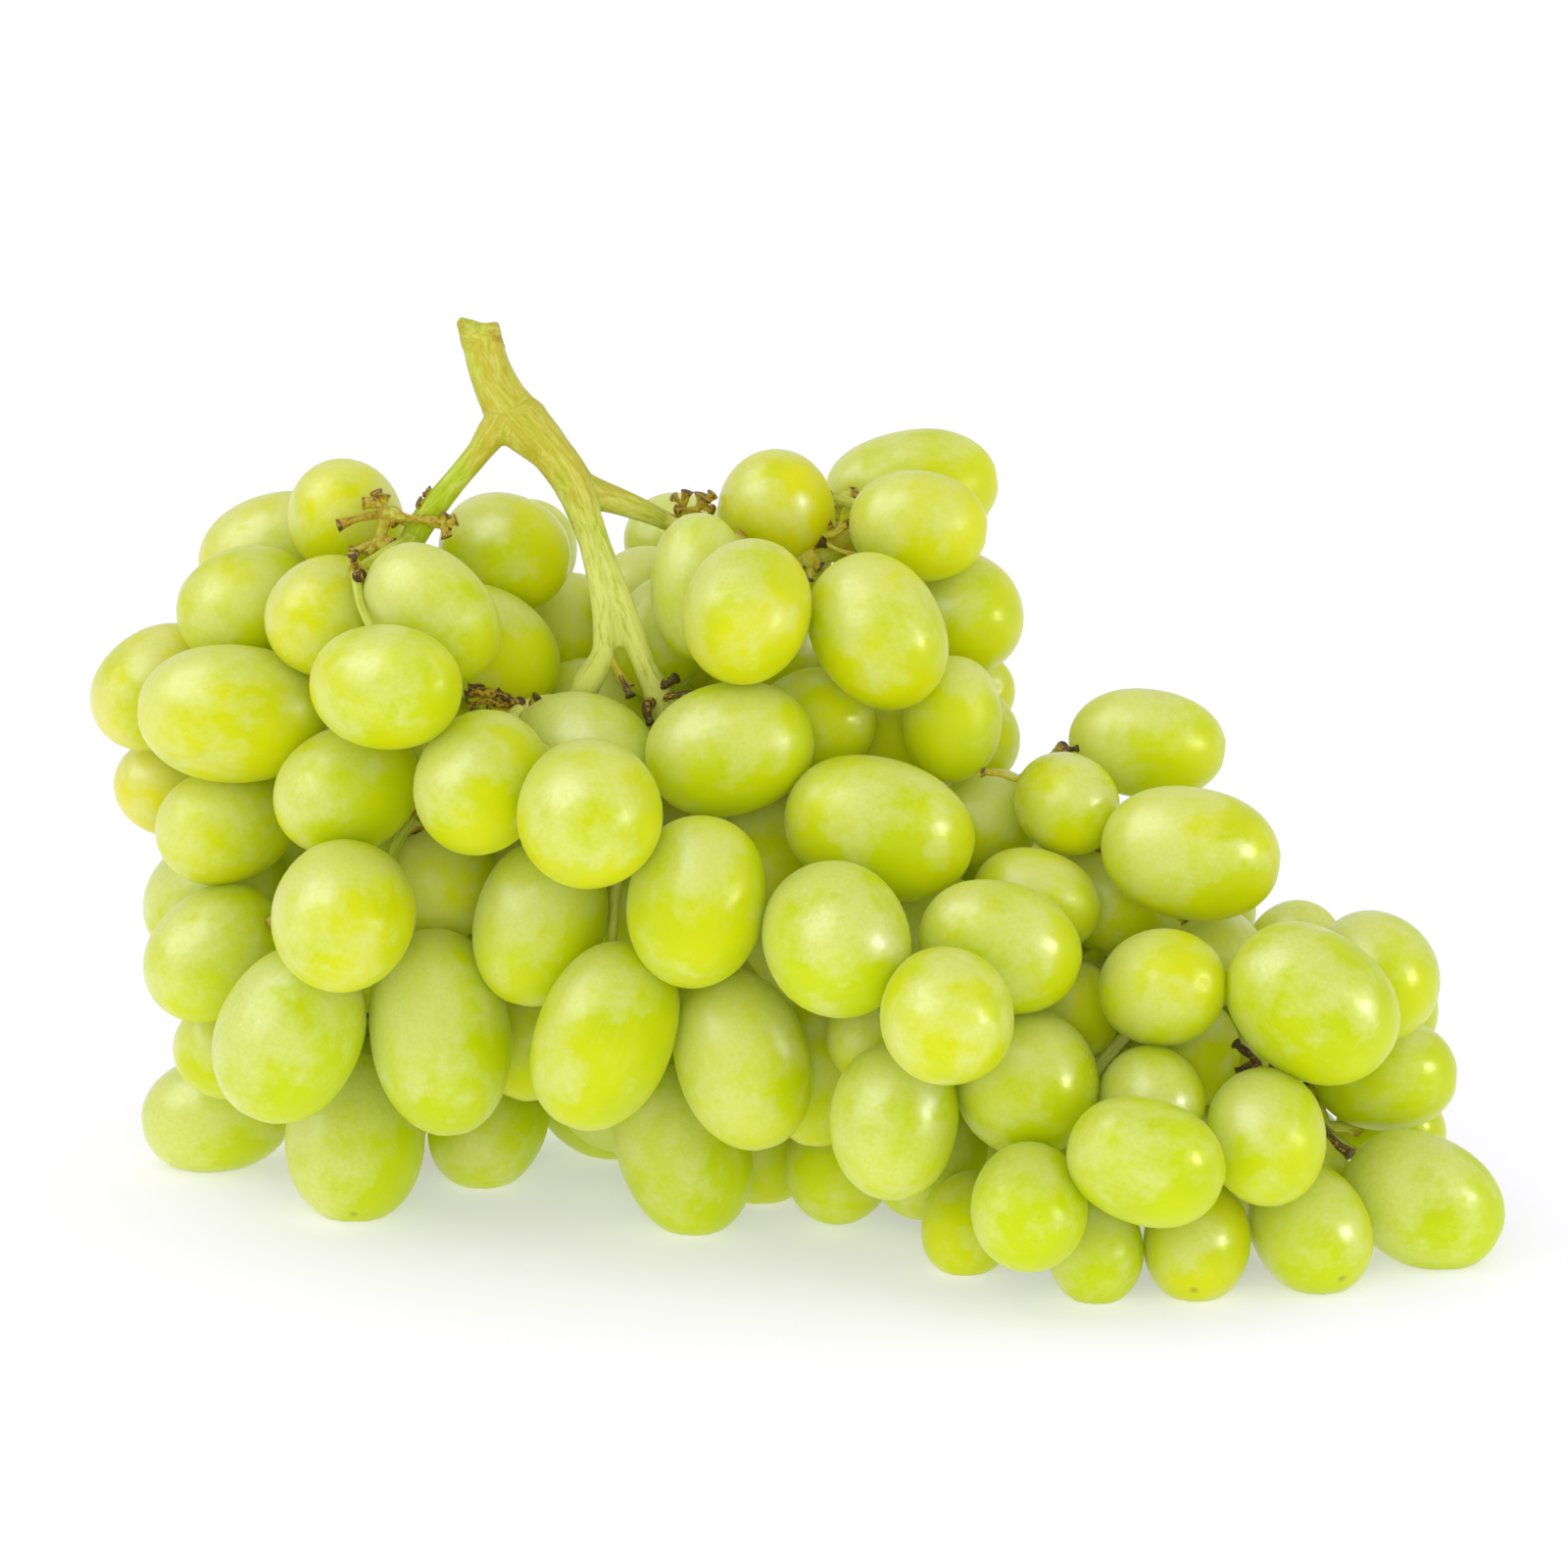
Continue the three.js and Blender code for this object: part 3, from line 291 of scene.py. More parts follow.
GOLDEN_TWIGS = [
    [[-58, 101.5, 16, 1.5], [-55, 100.9, 17.5, 1], [-52, 100.6, 18.4, 0.9], [-50.2, 100.1, 18.4, 0.9],
     [-48.8, 99.6, 18.2, 1.3]],
    [[-50.2, 100.1, 18.3, 0.7], [-48.2, 100.8, 18.6, 0.8]],
    [[-58.2, 101.6, 16, 1.6], [-59, 97.9, 16.5, 1.4], [-57.9, 95.2, 18, 0.9], [-56.4, 94.2, 18.5, 0.8]],
    [[-59, 97.9, 16.5, 0.9], [-57.2, 95.9, 18.5, 0.8], [-55.6, 95, 18.5, 0.7]],
    [[-59, 97.9, 16.5, 1], [-61.3, 96.9, 17, 0.8], [-63.4, 95.8, 17, 0.8]],
    [[-58.3, 101.4, 16.2, 1.4], [-59.4, 102.8, 16.6, 1.2], [-60.5, 103.8, 17, 1.3]],
    [[-52, 102.5, 16, 1.2], [-53.8, 103.2, 16.5, 0.9]],
    [[-51, 103.8, 16.5, 1.2], [-52.6, 104.9, 16.8, 0.9]],
    [[-14, 101, 9, 0.9], [-13, 103, 10.5, 0.6], [-12.8, 104.6, 11, 0.7]],
    [[-15.3, 103, 10, 0.6], [-16.7, 103.9, 11.2, 0.6]],
    [[-14.6, 102.3, 10, 0.6], [-16.2, 102.2, 11.6, 0.6]],
    [[-13, 102.5, 11, 0.6], [-12.1, 103.7, 12.2, 0.6]],
    [[-13, 102.8, 10.5, 0.6], [-11.2, 102.2, 12, 0.6]],
    [[-14.4, 101.6, 10, 0.7], [-12.9, 101.1, 11.6, 0.6]],
    [[-58.6, 101.7, 16, 1.4], [-57, 100.2, 17, 1.1]],
    [[-59, 102.3, 16.3, 1.2], [-58.7, 104.4, 16.6, 1.1]],
    [[-60, 103.3, 16.8, 1.2], [-61.8, 103.2, 17, 1.1]],
    [[-50.4, 100, 18.4, 1], [-49.6, 101.5, 18.8, 0.8]],
    [[-50.2, 99.8, 18.4, 1], [-49.5, 98.2, 18.8, 0.8]],
    [[-59, 98, 16.5, 1.3], [-57.4, 97.2, 17.2, 1]],
    [[-59.4, 97.8, 16.5, 1.1], [-61.2, 95.6, 17, 0.9]],
]
OLIVE_TWIGS = [
    [[-26.6, 82, 23, 1.2], [-24.6, 78.5, 22.5, 0.9], [-23.2, 76.3, 22, 0.9]],
    [[-8.2, 97.3, 16, 0.7], [-4, 97.9, 14.5, 0.6], [0, 97.4, 12.8, 1.4], [3.3, 98.9, 12.3, 0.9],
     [6.2, 100.2, 12, 1]],
    [[3.3, 98.5, 12.5, 0.7], [6.6, 98.6, 13, 0.7], [8.6, 100.1, 12.6, 0.8]],
    [[0, 97.2, 12.8, 1.3], [2.2, 96.2, 12.6, 1.8], [3.4, 94.8, 12.6, 2], [4.7, 93.7, 13, 1.2]],
    [[1.6, 95.4, 12.6, 1.6], [2.1, 93.7, 13, 1.1]],
    [[3, 93.8, 13, 0.9], [2.7, 92, 13.6, 0.8]],
    [[5.2, 97.4, 12.6, 0.6], [7.1, 96.4, 13.3, 0.6], [10.3, 95.5, 14, 0.6]],
    [[3.4, 95.4, 9, 2.4], [6.2, 97, 8, 3.2], [8.6, 97.6, 7.5, 3.2], [11, 97.4, 7, 2]],
    [[76.5, 12.8, 13.7, 2.4], [76.2, 15.6, 14.5, 3.2], [75.6, 19.4, 15, 2.2]],
    [[36.6, 65.1, 10, 0.8], [35, 64, 20, 0.6], [32.8, 63.1, 23, 0.6], [30.4, 63.9, 23.5, 0.6],
     [28, 64.4, 23, 0.7]],
    [[36.6, 65.1, 10, 0.8], [38.6, 67, 14, 0.8], [39.7, 67.7, 17.5, 0.9]],
]
WOODY_TWIGS = [
    [[-31, 74, 15, 1.1], [-36, 72.6, 18, 0.9], [-38.4, 72.9, 19.8, 0.9], [-40.7, 73.7, 20.8, 1],
     [-43, 74.6, 21.3, 1], [-44.6, 76.3, 21.6, 0.9], [-46.4, 76.2, 21.8, 0.9]],
    [[-40.4, 73.8, 20.8, 0.8], [-43.4, 75.7, 22, 0.8], [-46.9, 75.1, 22.2, 0.9]],
    [[-42.6, 74.2, 21.3, 0.8], [-44.2, 74.4, 22, 0.8], [-46.3, 73.6, 22, 0.7]],
    [[-37.6, 72.8, 19.2, 0.9], [-39.4, 74, 21, 0.9], [-42.4, 75.6, 21.8, 0.9]],
    [[-41, 73.7, 20.8, 0.8], [-40.9, 75.1, 21.8, 0.8]],
    [[-38.8, 73.2, 20, 0.8], [-38.9, 74.4, 21.3, 0.8]],
    [[-36.4, 72.6, 18.4, 0.9], [-37.6, 73.4, 20.4, 0.8], [-36.2, 75, 20.8, 0.9]],
    [[-39.6, 73.4, 20.4, 0.8], [-41.2, 72.6, 21.8, 0.8], [-43.8, 73, 22.2, 0.7]],
]
DARK_TWIGS = [
    [[-20, 76, 20, 1], [-17.6, 77, 22, 1], [-16.3, 77.7, 23, 1.15]],
    [[-19, 75.5, 19.5, 1], [-20.6, 73, 22.2, 1.1], [-20.1, 71, 22.8, 0.9]],
    [[-19, 74.5, 20, 0.8], [-15.8, 75.4, 22, 0.7], [-12.5, 75.3, 22, 0.7]],
    [[-24.6, 78.5, 22.5, 0.6], [-22.9, 75.1, 24, 0.6]],
    [[3.2, 96.8, 12.6, 0.9], [5.2, 97.3, 13.6, 0.9]],
    [[38.6, 67, 14, 0.7], [41.8, 67.6, 16.5, 0.5]],
    [[67.4, 19.6, 29.3, 1], [67.6, 21.9, 36, 0.9], [66, 23.6, 38, 0.9], [64.2, 25.1, 39, 0.7]],
    [[67.6, 21.9, 36, 0.8], [66, 21.8, 37.6, 0.7], [64.4, 21, 38, 0.6]],
    [[76.5, 12.8, 13.7, 1], [76.6, 13.2, 25, 0.9], [77, 12.8, 33, 0.9], [79, 10.6, 35, 0.9],
     [81, 9, 36, 0.95]],
]
TWIG_DRYNESS = [
    (GOLDEN_TWIGS, [0.35, 0.5, 0.5, 0.6, 0.85]),
    (OLIVE_TWIGS, [0.1, 0.25, 0.35, 0.5, 1]),
    (WOODY_TWIGS, [0.5, 0.7, 0.85, 1.05, 1.5]),
    (DARK_TWIGS, [0.7, 1.1, 1.4, 1.8, 2]),
    (BARE_TWIGS, [0.3, 0.45, 0.5, 0.6, 0.95]),
]

# ---- Colours ----

GREEN_SKIN = (0.51, 0.65, 0.001, 1)
YELLOW_SKIN = (0.68, 0.70, 0.001, 1)
AMBER_SKIN = (0.76, 0.58, 0.002, 1)
DEEP_SKIN = (0.47, 0.59, 0.001, 1)
# The pale colour of the wax bloom, which also stands as painted highlight, the milky reflection of the soft
# lamps
BLOOM_AND_HIGHLIGHT = (0.67, 0.72, 0.17, 1)
SCAR_BROWN = (0.16, 0.09, 0.03, 1)
OLIVE_STEM = (0.54, 0.465, 0.02, 1)
GREEN_STEM = (0.42, 0.60, 0.004, 1)
PALE_STEM = (0.74, 0.78, 0.14, 1)
SHADE_STEM = (0.30, 0.30, 0.003, 1)
TAN_STEM = (0.43, 0.235, 0.01, 1)
DARK_STEM = (0.05, 0.026, 0.011, 1)

# ---- Patterns: scales per millimetre, ranges as (from low, from high, to low, to high) ----

DEEP = dict(scale=0.09, detail=2, limits=(0.42, 0.62))
VEINS = dict(scale=0.7, roughness=0.6, stretch=0.25, limits=(0.5, 0.75))
CLOUDS = dict(scale=0.105, detail=5, roughness=0.62)
FLECKS = dict(scale=1.3, roughness=0.7, limits=(0.4, 0.6))
PORES = dict(scale=1.8, roughness=0.6)
STREAKS = dict(scale=1.3, detail=5, roughness=0.65, stretch=0.1)
PATCHES = dict(scale=0.35, detail=2, stretch=0.35, limits=(0.35, 0.65, -0.35, 0.35))
BLOTCHES = dict(scale=0.45, detail=5, roughness=0.65)
SPECKS = dict(scale=1.6, detail=2, limits=(0.35, 0.65, -0.5, 0.5))
FIBRES = dict(scale=3, detail=4, roughness=0.6, stretch=0.25)
DEEP_STRENGTH = 0.6
CLOUD_RANGE = (0.49, 0.67)
# The clouds, their flecks and the veins carry painted highlight as well as the wax bloom
VEINS_BY_WAX_AND_HIGHLIGHT = (0.35, 0.6, 0.03, 0.3)
BLOOM_AND_HIGHLIGHT_BY_FLECKS = (0, 1, 0.65, 1)
BLOOM_AND_HIGHLIGHT_STRENGTH = 0.62
SCAR_RANGE = (0.9, 0.3)  # millimetres from the tip
SCAR_STRENGTH = 0.6
DULLNESS = 0.24
ROUGHNESS_BY_BLOOM_AND_HIGHLIGHT = (0, 1, 0.2, 0.38)
# How much paler the low strands are painted: pale young bark, and partly painted light on strands in the
# berries' shade
PALENESS_WITH_PAINTED_LIGHT = 0.3
PALE_RANGE = (0.48, 0.8)
SHADE_RANGE = (0.46, 0.3, 0, 0.6)
DRYNESS_BY_BLOTCHES = (0.3, 0.7, -0.25, 0.25)
TAN_RANGE = (0.2, 0.65)
DARK_RANGE = (0.7, 1.05)
ROUGHNESS_BY_BLOTCHES = (0.3, 0.7, 0.45, 0.7)
PORE_BUMP = {"Strength": 0.15, "Distance": 0.0003}
FIBRE_BUMP = {"Strength": 0.4, "Distance": 0.0003}
MIX_FACTOR, MIX_FIRST, MIX_SECOND, MIX_RESULT = 0, 6, 7, 2  # the sockets of a mix of colours

SKIN_FINISH = {
    "Subsurface Weight": 0.9,
    "Subsurface Radius": (1.0, 0.95, 0.1),
    "Subsurface Scale": 0.018,
    "IOR": 1.4,
    "Specular IOR Level": 0.35,
    "Specular Tint": (1.0, 1.0, 0.3, 1),
    "Coat IOR": 1.6,
    "Coat Roughness": 0.36,
    "Sheen Weight": 0.07,
    "Sheen Roughness": 0.14,
}
BARK_FINISH = {
    "Subsurface Weight": 0.15,
    "Subsurface Radius": (1.0, 0.9, 0.3),
    "Subsurface Scale": 0.001,
    "Specular IOR Level": 0.3,
    "Specular Tint": (1.0, 1.0, 0.5, 1),
}

# ---- Surface, light and camera, in metres ----

FLOOR_SIZE = 6.0
FLOOR_FINISH = {
    "Base Color": (0.92, 0.90, 1.0, 1),
    "Roughness": 0.9,
    "Specular IOR Level": 0.1,
    "Emission Color": (0.92, 0.9, 1, 1),
    "Emission Strength": 0.42,
}
WORLD_LIGHT = {"Color": (1, 1, 1, 1), "Strength": 0.86}
TARGET = Vector((-0.00162, 0.01854, 0.06027))
LAMPS = {
    "key": dict(towards=(-0.6, -0.25, 0.77), distance=1.4, size=1.8, power=2.5),
    "fill": dict(towards=(0, -COS_LEAN, SIN_LEAN), distance=2, size=1, power=9, glossy=False),
    "gloss": dict(towards=(-0.6, -0.25, 0.77), distance=1.4, size=1.5, power=24, diffuse=False),
    "glint": dict(towards=(0.9, -0.45, 0.35), distance=0.5, size=0.045, power=0.13, diffuse=False,
                  aside=(0.055, -0.01, -0.03), spread=math.radians(34)),
}
CAMERA_DISTANCE = 3.0
VIEW_WIDTH = 0.2286
SENSOR_MM = 36.0
GAMMA = 1.22
EXPOSURE = -0.28

# ---- The drawing plane ----

FLOOR_UP = np.array([0, COS_LEAN, SIN_LEAN])
TURN_TO_SPACE = np.array([[1, 0, 0], [0, SIN_LEAN, -COS_LEAN], [0, COS_LEAN, SIN_LEAN]])


def turned_to_space(directions):
    return np.asarray(directions, float) @ TURN_TO_SPACE.T


def to_space(places):
    """Places in the drawing plane's millimetres as places in the frame, still in millimetres."""
    return turned_to_space(places) - np.array([CENTRE_X, CENTRE_Y, 0])


def from_space(place):
    return np.asarray(place, float) @ TURN_TO_SPACE


def length(vectors):
    return np.linalg.norm(vectors, axis=-1)


def unit(vectors):
    return vectors / length(vectors)[..., None]


def dot(first, second):
    return np.sum(first * second, axis=-1)


# ---- Rounded bodies and the gaps between them ----

class Bodies:
    """Rounded bodies, one row each: places, axes, half lengths and radii."""

    def __init__(self, place, axis, half, radius):
        self.place = np.array(place, float).reshape(-1, 3)
        self.axis = np.array(axis, float).reshape(-1, 3)
        self.half = np.array(half, float).reshape(-1)
        self.radius = np.array(radius, float).reshape(-1)

    def pick(self, rows):
        return Bodies(self.place[rows], self.axis[rows], self.half[rows], self.radius[rows])

    def reach(self, direction):
        along = (self.half ** 2 - self.radius ** 2) * dot(self.axis, direction) ** 2
        return np.sqrt(self.radius ** 2 + along)

    def surface(self, direction):
        along = (self.half ** 2 - self.radius ** 2) * dot(self.axis, direction)
        offset = direction * self.radius[:, None] ** 2 + self.axis * along[:, None]
        return offset / self.reach(direction)[:, None]


def gathered(*groups):
    return Bodies(*(np.concatenate([getattr(group, name) for group in groups])
                    for name in ("place", "axis", "half", "radius")))


def balls(places, radii):
    places = np.array(places, float).reshape(-1, 3)
    radii = np.broadcast_to(np.asarray(radii, float), len(places))
    return Bodies(places, np.broadcast_to(FLOOR_UP, places.shape), radii, radii)


def gap_between(first, second):
    apart = second.place - first.place
    direction = unit(apart)
    for _ in range(GAP_TURNS):
        slip = apart - first.surface(direction) - second.surface(direction)
        slip -= direction * dot(slip, direction)[:, None]
        reach = first.reach(direction) + second.reach(direction)
        direction = unit(direction + slip / reach[:, None])
    return dot(apart, direction) - first.reach(direction) - second.reach(direction), direction


def close_pairs(first, second, one, other):
    """The pairs of rows, out of those given, whose bodies are near enough to touch."""
    near = length(first.place[one] - second.place[other]) <= REACH_LIMIT
    return one[near], other[near]


# ---- Setting out the berries ----

def seeded_draws(seed):
    while True:
        seed = seed * DRAW_FACTOR % DRAW_MODULUS
        yield seed / DRAW_MODULUS


def front_berry(across, up, out, width, seen, tip, low=False):
    radius = width / 2
    half = max(radius * BERRY_SLENDERNESS, seen / 2)
    flatness = ((seen / 2) ** 2 - radius ** 2) / (half ** 2 - radius ** 2)
    in_plane = math.sqrt(min(max(flatness, 0), 1))
    turn = math.radians(tip)
    axis = [in_plane * math.cos(turn), in_plane * math.sin(turn), math.sqrt(1 - in_plane ** 2)]
    return [across, up, out], axis, half, radius, low


def turned_about(vector, axis, angle):
    along = axis * (axis @ vector)
    across = np.cross(axis, vector)
    return along + (vector - along) * math.cos(angle) + across * math.sin(angle)


def hidden_berries(knot, facing, count, draws):
    turn, rise = (math.radians(angle) for angle in facing)
    outward = from_space([math.cos(turn) * math.cos(rise), math.sin(turn) * math.cos(rise), math.sin(rise)])
    side = unit(np.cross(outward, FLOOR_UP))
    rows = []
    for index in range(count):
        radius = (HIDDEN_WIDTH + HIDDEN_WIDTH_SPREAD * (next(draws) - 0.5)) / 2
        half = radius * BERRY_SLENDERNESS
        tilt = HIDDEN_TILT_DEGREES + HIDDEN_TILT_SPREAD * (next(draws) - 0.5) if index else 0
        spacing = index + 0.5 + HIDDEN_ROUND_SPREAD * (next(draws) - 0.5)
        axis = turned_about(outward, side, math.radians(tilt))
        axis = turned_about(axis, outward, 2 * math.pi * spacing / (count - 1))
        reach = half + PEDICEL_REACH + (0 if index else radius * MIDDLE_BERRY_LIFT)
        rows.append((from_space(knot) + axis * reach, axis, half, radius, False))
    return rows


def laid_out():
    """Every berry's body, and for each its spray, whether it shows and whether it touches the surface."""
    draws = seeded_draws(HIDDEN_SEED)
    sprays = [[front_berry(*row) for row in rows] for rows in FRONT_SPRAYS]
    sprays += [hidden_berries(*row, draws) for row in HIDDEN_SPRAYS]
    rows = [(*row, spray) for spray, group in enumerate(sprays) for row in group]
    place, axis, half, radius, low, spray = zip(*rows)
    spray = np.array(spray)
    return Bodies(place, axis, half, radius), spray, spray < len(FRONT_SPRAYS), np.array(low)


# ---- Limbs as smooth curves ----

def curve_point(points, share):
    """A point of the centripetal Catmull-Rom curve through the points."""
    spans = len(points) - 1
    span = min(int(share * spans), spans - 1)
    weight = share * spans - span
    before = points[span - 1] if span > 0 else 2 * points[0] - points[1]
    after = points[span + 2] if span + 2 <= spans else 2 * points[-1] - points[-2]
    if spans == 1:
        before = after
    start, end = points[span], points[span + 1]
    steps = ((before, start), (start, end), (end, after))
    first, middle, last = (np.linalg.norm(b - a) ** 0.5 for a, b in steps)
    leave = (start - before) / first - (end - before) / (first + middle) + (end - start) / middle
    arrive = (end - start) / middle - (after - start) / (middle + last) + (after - end) / last
    leave, arrive = leave * middle, arrive * middle
    square = -3 * start + 3 * end - 2 * leave - arrive
    cube = 2 * start - 2 * end + leave + arrive
    return start + leave * weight + square * weight ** 2 + cube * weight ** 3


def limb_stations(limb, spacing):
    """Places and radii along a limb, about a spacing apart."""
    limb = np.array(limb, float)
    points = limb[:, :3]
    fine = np.array([curve_point(points, index / ARC_DIVISIONS) for index in range(ARC_DIVISIONS + 1)])
    shares = np.linspace(0, 1, math.ceil(length(np.diff(fine, axis=0)).sum() / spacing) + 1)
    radii = np.interp(shares * (len(limb) - 1), np.arange(len(limb)), limb[:, 3])
    return np.array([curve_point(points, share) for share in shares]), radii


# ---- Settling the berries ----

def settle(berries, shown, low, fixed):
    home = berries.place.copy()
    ones, others = np.triu_indices(len(home), 1)
    grid = np.indices((len(home), len(fixed.place))).reshape(2, -1)
    ease = np.where(shown[:, None], SHOWN_EASE, 1)
    pull = np.where(shown, HOME_PULL, HIDDEN_PULL)[:, None]
    for step in range(SETTLING_PASSES):
        pushes = np.zeros_like(home)
        one, other = close_pairs(berries, berries, ones, others)
        gap, direction = gap_between(berries.pick(one), berries.pick(other))
        press = direction * np.minimum(gap - BERRY_CLEARANCE, 0)[:, None] / 2
        np.add.at(pushes, one, press)
        np.add.at(pushes, other, -press)
        one, other = close_pairs(berries, fixed, *grid)
        gap, direction = gap_between(berries.pick(one), fixed.pick(other))
        np.add.at(pushes, one, direction * np.minimum(gap - BERRY_CLEARANCE, 0)[:, None])
        height = berries.place @ FLOOR_UP - berries.reach(FLOOR_UP) + FLAT_SPOT_DEPTH
        rests = low | (height < 0) | (~shown & (height < SAG))
        pushes -= FLOOR_UP * (height * rests)[:, None]
        berries.place += pushes * ease * STEP_SHARE
        drift = home - berries.place
        drift[shown, 2] = 0
        berries.place += drift * pull * max(0, 1 - step / HOLDING_PASSES)


def give_way(berries):
    one, other = close_pairs(berries, berries, *np.triu_indices(len(berries.half), 1))
    gap, _ = gap_between(berries.pick(one), berries.pick(other))
    squeeze = np.zeros(len(berries.half))
    for rows in (one, other):
        np.maximum.at(squeeze, rows, (SMALLEST_GAP - gap) / 2)
    berries.radius -= squeeze
    berries.half -= squeeze


# ---- Routes of the pedicels and side branches ----

def balls_on_route(route):
    places, radii = [], []
    for (start, start_radius), (end, end_radius) in zip(route, route[1:]):
        count = math.ceil(length(end - start) / TUBE_BALL_SPACING)
        for share in np.arange(count) / count:
            places.append(start + (end - start) * share)
            radii.append(start_radius + (end_radius - start_radius) * share)
    return balls(places, radii)


def is_blocked(route, bodies):
    path = balls_on_route(route)
    body, ball = close_pairs(bodies, path, *np.indices((len(bodies.half), len(path.half))).reshape(2, -1))
    body, ball = body[ball > 0], ball[ball > 0]
    return len(ball) > 0 and gap_between(bodies.pick(body), path.pick(ball))[0].min() < SMALLEST_GAP


def clear_point(point, radius, bodies):
    point = np.array(point, float)
    for _ in range(ROUTING_PASSES):
        done = -1
        while True:
            rows = np.arange(done + 1, len(bodies.half))
            rows = rows[length(bodies.place[rows] - point) <= REACH_LIMIT]
            if not len(rows):
                break
            gap, direction = gap_between(bodies.pick(rows), balls([point] * len(rows), radius))
            tight = np.flatnonzero(gap < TUBE_CLEARANCE)
            if not len(tight):
                break
            first = tight[0]
            point += direction[first] * (TUBE_CLEARANCE - gap[first]) * STEP_SHARE
            done = rows[first]
        if done < 0:
            break
    return point


def pedicel_route(berry, knot, bodies):
    towards = unit(knot - berry.place[0])
    neck = berry.place[0] + towards * (berry.reach(towards)[0] + NECK_HEIGHT)
    straight = [(neck, PEDICEL_RADIUS), (knot, PEDICEL_RADIUS)]
    if not is_blocked(straight, bodies):
        return straight
    bend = clear_point((neck + knot) / 2, PEDICEL_RADIUS, bodies)
    return [straight[0], (bend, PEDICEL_RADIUS), straight[1]]


def end_before(start, knot):
    return knot + unit(start - knot) * (HUB_RADIUS + JOINT_GAP), LATERAL_RADIUS


def lateral_route(knot, anchors, bodies):
    nearest = anchors[np.argsort(length(anchors - knot), kind="stable")[:ANCHORS_TRIED]]
    straight = [[(place, LATERAL_RADIUS), end_before(place, knot)] for place in nearest]
    for route in straight:
        if not is_blocked(route, bodies):
            return route
    root, end = straight[0]
    stops = [root[0] + (knot - root[0]) * share for share in BEND_SHARES]
    bends = [clear_point(stop, LATERAL_RADIUS, bodies) for stop in stops]
    return [root, *((bend, LATERAL_RADIUS) for bend in bends), end]


def grown():
    """The settled berries, their sprays, and the knots, pedicels and side branches that carry them."""
    berries, spray, shown, low = laid_out()
    limb_balls = gathered(*(balls(*limb_stations(limb, BALL_SPACING)) for limb in LIMBS))
    stem_balls = gathered(limb_balls, *(balls(*limb_stations(twig, BALL_SPACING)) for twig in BARE_TWIGS))
    front, back = berries.pick(shown), berries.pick(~shown)
    settle(front, shown[shown], low[shown], stem_balls)
    settle(back, shown[~shown], low[~shown], gathered(stem_balls, front))
    berries = gathered(front, back)
    give_way(berries)
    numbers = range(spray[-1] + 1)
    obstacles = gathered(berries, stem_balls)
    knots = []
    for number in numbers:
        own = berries.pick(spray == number)
        reach = own.half + PEDICEL_REACH
        knot = clear_point(np.mean(own.place - own.axis * reach[:, None], axis=0), HUB_RADIUS, obstacles)
        knots.append(knot)
        obstacles = gathered(obstacles, balls([knot], HUB_RADIUS))
    first_knot = len(berries.half) + len(stem_balls.half)
    pedicels = []
    for number in numbers:
        others = np.arange(len(obstacles.half)) != first_knot + number
        rows = np.flatnonzero(spray == number)
        routes = [pedicel_route(berries.pick([row]), knots[number], obstacles.pick(others)) for row in rows]
        pedicels.append(routes)
        obstacles = gathered(obstacles, *map(balls_on_route, routes))
    laterals = []
    for number in numbers:
        foreign = [balls_on_route(route) for other in numbers if other != number for route in pedicels[other]]
        laterals.append(lateral_route(knots[number], limb_balls.place, gathered(berries, *foreign)))
    return berries, spray, knots, pedicels, laterals


# ---- Meshes ----

def box_frame(axis):
    """Two directions square to an axis, and the axis."""
    helper = np.array([0, 0, 1.0]) if abs(axis[2]) < UPRIGHT else np.array([1.0, 0, 0])
    side = unit(np.cross(helper, axis))
    return np.array([side, np.cross(axis, side), axis])


def waves(places, draw, count, pitch):
    """A smooth unevenness of about one at the most, read at each place."""
    total = np.zeros(len(places))
    for _ in range(count):
        heading = unit(draw.normal(size=3)) * draw.uniform(*pitch)
        total += np.sin(places @ heading + draw.uniform(0, 2 * math.pi))
    return total / math.sqrt(count)


def grid_faces(rings, sides):
    """Quads between rings of equal sides, with the fans that close both ends on a last pair of points."""
    ring = np.arange(rings - 1)[:, None] * sides
    side = np.arange(sides)[None, :]
    ahead = (side + 1) % sides
    quads = np.stack([ring + side, ring + ahead, ring + sides + ahead, ring + sides + side], axis=-1)
    first, last = rings * sides, rings * sides + 1
    end = (rings - 1) * sides
    faces = quads.reshape(-1, 4).tolist()
    faces += [[first, int((index + 1) % sides), index] for index in range(sides)]
    faces += [[last, end + index, end + (index + 1) % sides] for index in range(sides)]
    return faces


class Shape:
    """Points, faces and values per point that are added up to one mesh."""

    def __init__(self, values):
        self.points, self.faces, self.values = [], [], {name: [] for name in values}
        self.count = 0

    def add(self, points, faces, **values):
        self.faces += [[corner + self.count for corner in face] for face in faces]
        self.points.append(points)
        self.count += len(points)
        for name, column in self.values.items():
            column.append(np.broadcast_to(values[name], (len(points), *np.shape(values[name])[1:])))

    def joined(self):
        values = {name: np.concatenate(column) for name, column in self.values.items()}
        return np.concatenate(self.points), self.faces, values


def laid_mesh(name, points, faces, values):
    """A smooth mesh in metres from points in millimetres, with its values as attributes."""
    mesh = bpy.data.meshes.new(name)
    mesh.from_pydata((np.asarray(points) * MM).tolist(), [], faces)
    mesh.polygons.foreach_set("use_smooth", np.ones(len(mesh.polygons), dtype=bool))
    for title, value in values.items():
        kind, field = ("FLOAT", "value") if value.ndim == 1 else ("FLOAT_VECTOR", "vector")
        numbers = np.ascontiguousarray(value, dtype=np.float32).ravel()
        mesh.attributes.new(title, kind, "POINT").data.foreach_set(field, numbers)
    mesh.update()
    return mesh


